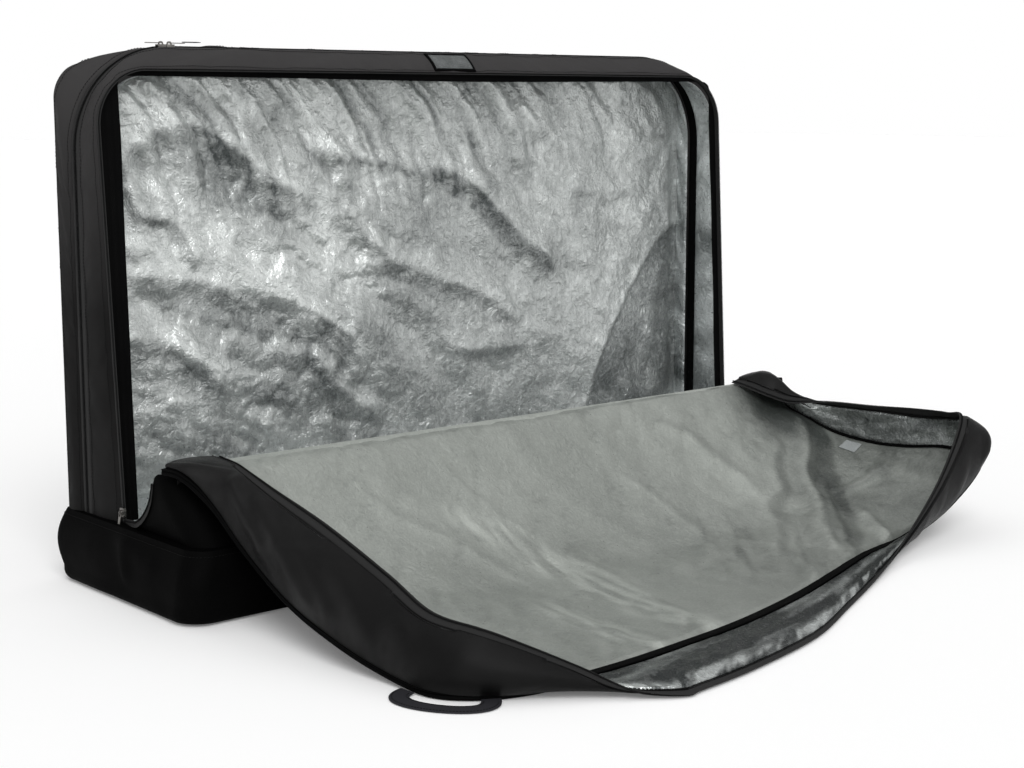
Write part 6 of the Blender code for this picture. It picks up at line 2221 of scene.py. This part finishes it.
@dataclass
class FoldStrips:
    """The cloth that runs over the fold from the front wall to the flap, inside and outside."""

    margin: float = 0.012
    rows: tuple[int, ...] = (0, 2, 4, 6, 8, 10)
    shade: float = 0.12

    def strip(self, name: str, flap: Flap, wall_profile: Sequence[Pair], side: float,
              lifts: tuple[Sequence[float], Sequence[float]], finish: Finish, slot: str,
              ends: tuple[Triple, Triple]) -> None:
        """A strip that follows a profile on the wall and then the flap's own surface.

        On the flap a point is surface + side (half the wall + lift) normal.

        Args:
            name: the piece's name.
            flap: the flap, for its surface.
            wall_profile: stations (y, z) on the wall, up to the fold.
            side: 1 for the inner side of the flap, -1 for the outer side.
            lifts: heights of the strip's two faces over the flap, one for each row.
            finish: its finish.
            slot: not used.
            ends: not used.
        """
        surface = flap.surface()
        normals = flap.panel_normals(surface)
        fold_x = surface[0, :, 0]
        inside = (fold_x > fold_x[0] + self.margin) & (fold_x < fold_x[-1] - self.margin)
        rows = list(self.rows)
        on_flap, away = surface[rows][:, inside], normals[rows][:, inside]
        x = on_flap[0, :, 0]
        profile = np.array(wall_profile)
        tangent = unit(np.gradient(profile, axis=0))
        out = np.column_stack([-tangent[:, 1], tangent[:, 0]])
        out *= np.sign(out[0, 0] * side)
        grids = []
        for lift in lifts:
            place = profile + out * lift[0]
            wall = np.zeros((len(profile), len(x), 3))
            wall[..., 0] = x[None, :]
            wall[..., 1:] = place[:, None, :]
            reach = side * (CUT.wall / 2 + np.array(lift))[:, None, None]
            grids.append(np.concatenate([wall, on_flap + away * reach]).transpose(1, 0, 2))
        piece = slab(name, grids[0], grids[1], finish, tone=np.full(grids[0].shape[:2], self.shade))
        face_outwards(piece.data)
        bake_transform(piece)
        log.info("%s: %d faces across the fold", name, len(piece.data.polygons))

    def build(self, flap: Flap) -> None:
        """Make the inner and the outer strip.

        Args:
            flap: the flap that they run on to.
        """
        y, z = CUT.fold_y, CUT.fold_height
        inner, outer = y + CUT.wall / 2, y - CUT.wall / 2
        self.strip("fold_lining_strip", flap,
                   ((inner + 0.0006, z - 0.022), (inner + 0.0006, z - 0.01), (inner + 0.0004, z - 0.004),
                    (inner - 0.0006, z + 0.0005), (inner - 0.0022, z + 0.003)), 1.0,
                   ((0.001, 0.001, 0.0009, 0.0008, 0.0006, 0.0003),
                    (0.0003, 0.0003, 0.0002, 0.0001, 0.0, -0.0002)),
                   Finish.FLAP_FILM, "flap_lining", ((0.0, inner, z - 0.006), (0.0, y - 0.008, z + 0.003)))
        self.strip("fold_outer_strip", flap,
                   ((outer - 0.0005, z - 0.034), (outer - 0.0007, z - 0.022), (outer - 0.001, z - 0.013)),
                   -1.0,
                   ((0.0012, 0.0012, 0.0012, 0.0012, 0.0011, 0.001), (0.0003,) * 6),
                   Finish.FLAP_SHELL, "shell_cloth", ((0.0, outer, z - 0.018), (0.0, y - 0.012, z - 0.007)))


@dataclass
class GrabHandle:
    """The webbing loop at the far left corner of the flap."""

    web_width: float = 0.025
    web_sheet: float = 0.002
    reach: float = 0.068
    seat: float = 0.0011
    stations: Pair = (6.5, 8.6)
    steps: int = 56
    end_drop: float = 0.0016
    stitch_share: float = 0.36

    def build(self, flap: Flap) -> None:
        """Carry the web along a Bezier curve from one sewn end to the other.

        p(s) = (1-s)^3 a + 3s(1-s)^2 b + 3s^2(1-s) c + s^3 d; the web lies on the floor but
        for its ends, which rise to the seam.

        Args:
            flap: the flap that it is sewn to.
        """
        seam = flap.seam()
        both = np.hstack([seam, unit(np.cross(unit(np.gradient(seam, axis=0)), UP))])
        index = np.arange(len(seam))
        anchors, directions = [], []
        for station in self.stations:
            at = np.array([np.interp(station * flap.steps, index, column) for column in both.T])
            directions.append(unit(at[3:]))
            anchors.append(at[:3] + directions[-1] * (flap.piping_radius + self.seat))
        a, d = anchors
        b, c = a + directions[0] * self.reach, d + directions[1] * self.reach
        s = ramp(self.steps + 1)[:, None]
        line = (1 - s) ** 3 * a + 3 * s * (1 - s) ** 2 * b + 3 * s ** 2 * (1 - s) * c + s ** 3 * d
        rise = CUT.wall / 2 - self.web_sheet / 2 - self.end_drop
        line[:, 2] = flap.play + rise * (1 - hump(s[:, 0])) ** 2 + self.web_sheet / 2
        slope = (1 - s) ** 2 * (b - a) + 2 * s * (1 - s) * (c - b) + s ** 2 * (d - c)
        side = unit(np.cross(slope, UP))
        over = np.tile(UP, (len(line), 1))
        bar = rounded_bar(self.web_width, self.web_sheet, 14, 0.35)
        web = swept("grab_handle_web", line, side, over, bar, Finish.WEBBING)
        dressed(web, "grab_handle", "webbing", "grab_handle")
        for name, share in (("in", -self.stitch_share), ("out", self.stitch_share)):
            row = line + side * self.web_width * share + over * self.web_sheet / 2
            seam_stitches("handle_stitches_" + name, row[3:-3], over[3:-3], "grab_handle", 0.004)


@dataclass
class IdentityWindow:
    """The clear pocket on the slope of the front gusset, with a blank card."""

    length: float = 0.086
    height: float = 0.042
    border: float = 0.005
    x: float = 0.022
    swell: float = 0.004
    bowed_half: float = 0.026

    def bow(self, up: Array) -> Array:
        """Height of the swollen cloth under the window: swell cos(pi/2 up / half)^0.8."""
        return self.swell * np.cos(np.clip(up / self.bowed_half, -1, 1) * math.pi / 2) ** 0.8

    def frame_axes(self) -> tuple[Array, Array, Array, Array]:
        """The window's own frame, on the slope between the mouth zip and the middle zip.

        Returns:
            Origin, along, up the slope and off the cloth.
        """
        low = np.array([0.0, CUT.mouth_top_y + CUT.mouth_tape + CUT.gap, CUT.mouth_top])
        high = np.array([0.0, CUT.middle_y - CUT.middle_tape / 2 - CUT.gap, CUT.height])
        along = np.array([1.0, 0.0, 0.0])
        slope = unit(high - low)
        return (low + high) / 2 + along * self.x, along, slope, np.cross(along, slope)

    def sheet(self, half_x: float, half_y: float, low: float, high: float,
              columns: int = 14) -> tuple[Array, Array]:
        """A rectangle, bowed with the cloth under it.

        Args:
            half_x: half its length.
            half_y: half its height.
            low: its lower face's height over the cloth.
            high: its upper face's.
            columns: places along each side.

        Returns:
            Its upper and its lower grid.
        """
        origin, along, slope, away = self.frame_axes()
        p = np.linspace(-half_x, half_x, columns)[:, None, None]
        q = np.linspace(-half_y, half_y, columns)[None, :, None]
        base, lift = origin + p * along + q * slope, self.bow(q)
        return base + (high + lift) * away, base + (low + lift) * away

    def build(self) -> None:
        """Make the frame of binding, the card and the clear cover."""
        origin, along, slope, away = self.frame_axes()
        hx, hy, b = self.length / 2, self.height / 2, self.border
        card = slab("window_name_card", *self.sheet(hx - b, hy - b, 0.0003, 0.0007), Finish.CARD)
        dressed(card, "shell", "card", "window_card")
        cover = slab("window_clear_cover", *self.sheet(hx - 0.4 * b, hy - 0.4 * b, 0.001, 0.0014),
                     Finish.CLEAR)
        dressed(cover, "shell", "clear_film", "window_film")
        u = ramp(30)[:-1, None]
        turns = np.array([(-hx, -hy), (hx, -hy), (hx, hy), (-hx, hy), (-hx, -hy)])
        loop = np.vstack([start + (end - start) * u for start, end in zip(turns[:-1], turns[1:])])
        inner = loop * np.array([(hx - b) / hx, (hy - b) / hy])
        shares = ramp(5)[None, :, None]
        flat = loop[:, None] * (1 - shares) + inner[:, None] * shares
        lift = self.bow(flat[..., 1:])
        base = origin + flat[..., :1] * along + flat[..., 1:] * slope
        crown = np.array([0.6, 1.7, 1.9, 1.7, 1.3])[None, :, None] * 0.001
        rim = slab("window_binding", base + (lift + crown) * away, base + (lift - 0.0006) * away,
                   Finish.BINDING, wrap=True)
        dressed(rim, "shell", "zip_tape", "window_frame")
        row = loop * np.array([(hx - b / 2) / hx, (hy - b / 2) / hy])
        line = origin + row[:, :1] * along + row[:, 1:] * slope + (self.bow(row[:, 1:]) + 0.0019) * away
        seam_stitches("window_stitches", line, away, "shell", 0.004)


@dataclass
class Sliders:
    """The four sliders with their pulls, and the soft tab on the top one."""

    tab_width: float = 0.005

    def build(self) -> None:
        """Give the metal its finish, and make the tab a folded strip of webbing."""
        nickel = Finish.NICKEL.material()
        for name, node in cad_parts.items():
            if "slider" in name and "cord" not in name:
                node.data.materials.clear()
                node.data.materials.append(nickel)
                log.info("%s keeps its solid", name)
        low, high = (np.array(corner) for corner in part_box("middle_slider_cord"))
        middle = (low + high) / 2
        x = np.linspace(low[0], high[0], 24)
        line = np.column_stack([x, np.full_like(x, middle[1]), np.full_like(x, middle[2])])
        across = np.tile(BACKWARDS, (len(x), 1))
        pinch = 1.0 - 0.35 * bell(x - x.max(), 0.004) - 0.2 * bell(x - x.min(), 0.003)
        profile = rounded_bar(self.tab_width, high[2] - low[2], 12, 0.5)[None] * pinch[:, None, None]
        tab = swept("slider_soft_tab", line, across, np.tile(UP, (len(x), 1)), profile, Finish.WEBBING)
        dressed(tab, "middle_slider_top_pull", "webbing", "middle_slider_cord")


@dataclass
class Studio:
    """Floor, light and camera."""

    lens: float = 63.4
    sensor: float = 36.0
    place: Triple = (-1.851, -2.239, 0.701)
    pitch: float = 8.89
    yaw: float = 40.66
    floor_half: float = 30.0
    floor_depth: float = 0.0002
    floor_lift: float = 0.1

    def floor(self) -> None:
        """A plain white floor."""
        h = self.floor_half
        z = -self.floor_depth
        rim = np.array([[-h, -h, z], [h, -h, z], [h, h, z], [-h, h, z]])
        pad = NodePad("studio_floor")
        seen = pad.add("LightPath").outputs["Is Camera Ray"]
        grain = pad.ranged(pad.noise(pad.place(), 3.0, 2.0), 0.3, 0.7, 0.9, 0.92)
        pad.feed(pad.shader, {"Base Color": pad.mixed(grain, (0.9, 0.9, 0.9), (0.93, 0.93, 0.93)),
                              "Roughness": 0.9, "Specular IOR Level": 0.0,
                              "Emission Color": (1.0, 1.0, 1.0, 1.0),
                              "Emission Strength": pad.maths("MULTIPLY", seen, self.floor_lift)})
        mesh = mesh_of("studio_floor", rim, np.array([[0, 1, 2, 3]]))
        mesh.materials.append(pad.material)
        placed("studio_floor", mesh)

    def lamp(self, name: str, strength: float, angle: float, turn: Triple) -> None:
        """A soft sun: its strength is pi times the share of full light.

        Args:
            name: the lamp's name.
            strength: the share of full light.
            angle: its width in degrees.
            turn: its rotation in degrees.
        """
        data = bpy.data.lights.new(name, "SUN")
        data.energy = strength * math.pi
        data.angle = math.radians(angle)
        placed(name, data).rotation_euler = tuple(math.radians(part) for part in turn)

    def world(self) -> None:
        """A sky graded by height: white below and round the horizon, a lower grey above it, lighter again
        overhead.
        """
        world = bpy.data.worlds.new("studio_world")
        bpy.context.scene.world = world
        world.use_nodes = True
        tree = world.node_tree
        back = tree.nodes["Background"]
        coordinate = tree.nodes.new("ShaderNodeTexCoord")
        split = tree.nodes.new("ShaderNodeSeparateXYZ")
        tree.links.new(coordinate.outputs["Generated"], split.inputs[0])
        ramp = tree.nodes.new("ShaderNodeValToRGB")
        tree.links.new(split.outputs["Z"], ramp.inputs["Fac"])
        steps = ((0.0, 1.0), (0.2, 1.0), (0.32, 0.25), (0.62, 0.3), (0.8, 0.75), (1.0, 0.9))
        elements = ramp.color_ramp.elements
        for place, value in steps[1:-1]:
            elements.new(place).color = (value, value, value, 1.0)
        for end in (0, -1):
            elements[end].position, elements[end].color = steps[end][0], (steps[end][1],) * 3 + (1.0,)
        tree.links.new(ramp.outputs["Color"], back.inputs["Color"])
        back.inputs["Strength"].default_value = 1.0

    def camera(self) -> None:
        """The camera at the photograph's place, with its field of view."""
        data = bpy.data.cameras.new("camera")
        data.lens, data.sensor_width = self.lens, self.sensor
        data.clip_start, data.clip_end = 0.01, 200.0
        thing = placed("camera", data)
        thing.location = self.place
        thing.rotation_euler = (math.radians(90.0 - self.pitch), 0.0, math.radians(-self.yaw))
        bpy.context.scene.camera = thing

    def build(self) -> None:
        """Set up floor, world, two suns and the camera."""
        bpy.context.scene.view_settings.view_transform = "Standard"
        self.floor()
        self.world()
        self.lamp("key_sun", 0.42, 35.0, (38.0, -28.0, 0.0))
        self.lamp("front_sun", 0.2, 50.0, (62.0, 0.0, -30.0))
        self.camera()


def corners(box: tuple) -> list[list[float]]:
    """A box's two corners as plain numbers."""
    return [[float(part) for part in corner] for corner in box]


def main() -> None:
    """Build the pieces in order."""
    logging.basicConfig(level=logging.INFO, format="%(name)s: %(message)s")
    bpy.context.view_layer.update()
    Studio().build()
    for part in (Boot(), UpperShell(), BackPanel(), MiddleZip(), MouthZip(), FrontWall()):
        part.build()
    flap = Flap()
    flap.build()
    FoldStrips().build(flap)
    GrabHandle().build(flap)
    IdentityWindow().build()
    Sliders().build()
    bpy.context.view_layer.update()


if __name__ == "__main__":
    main()
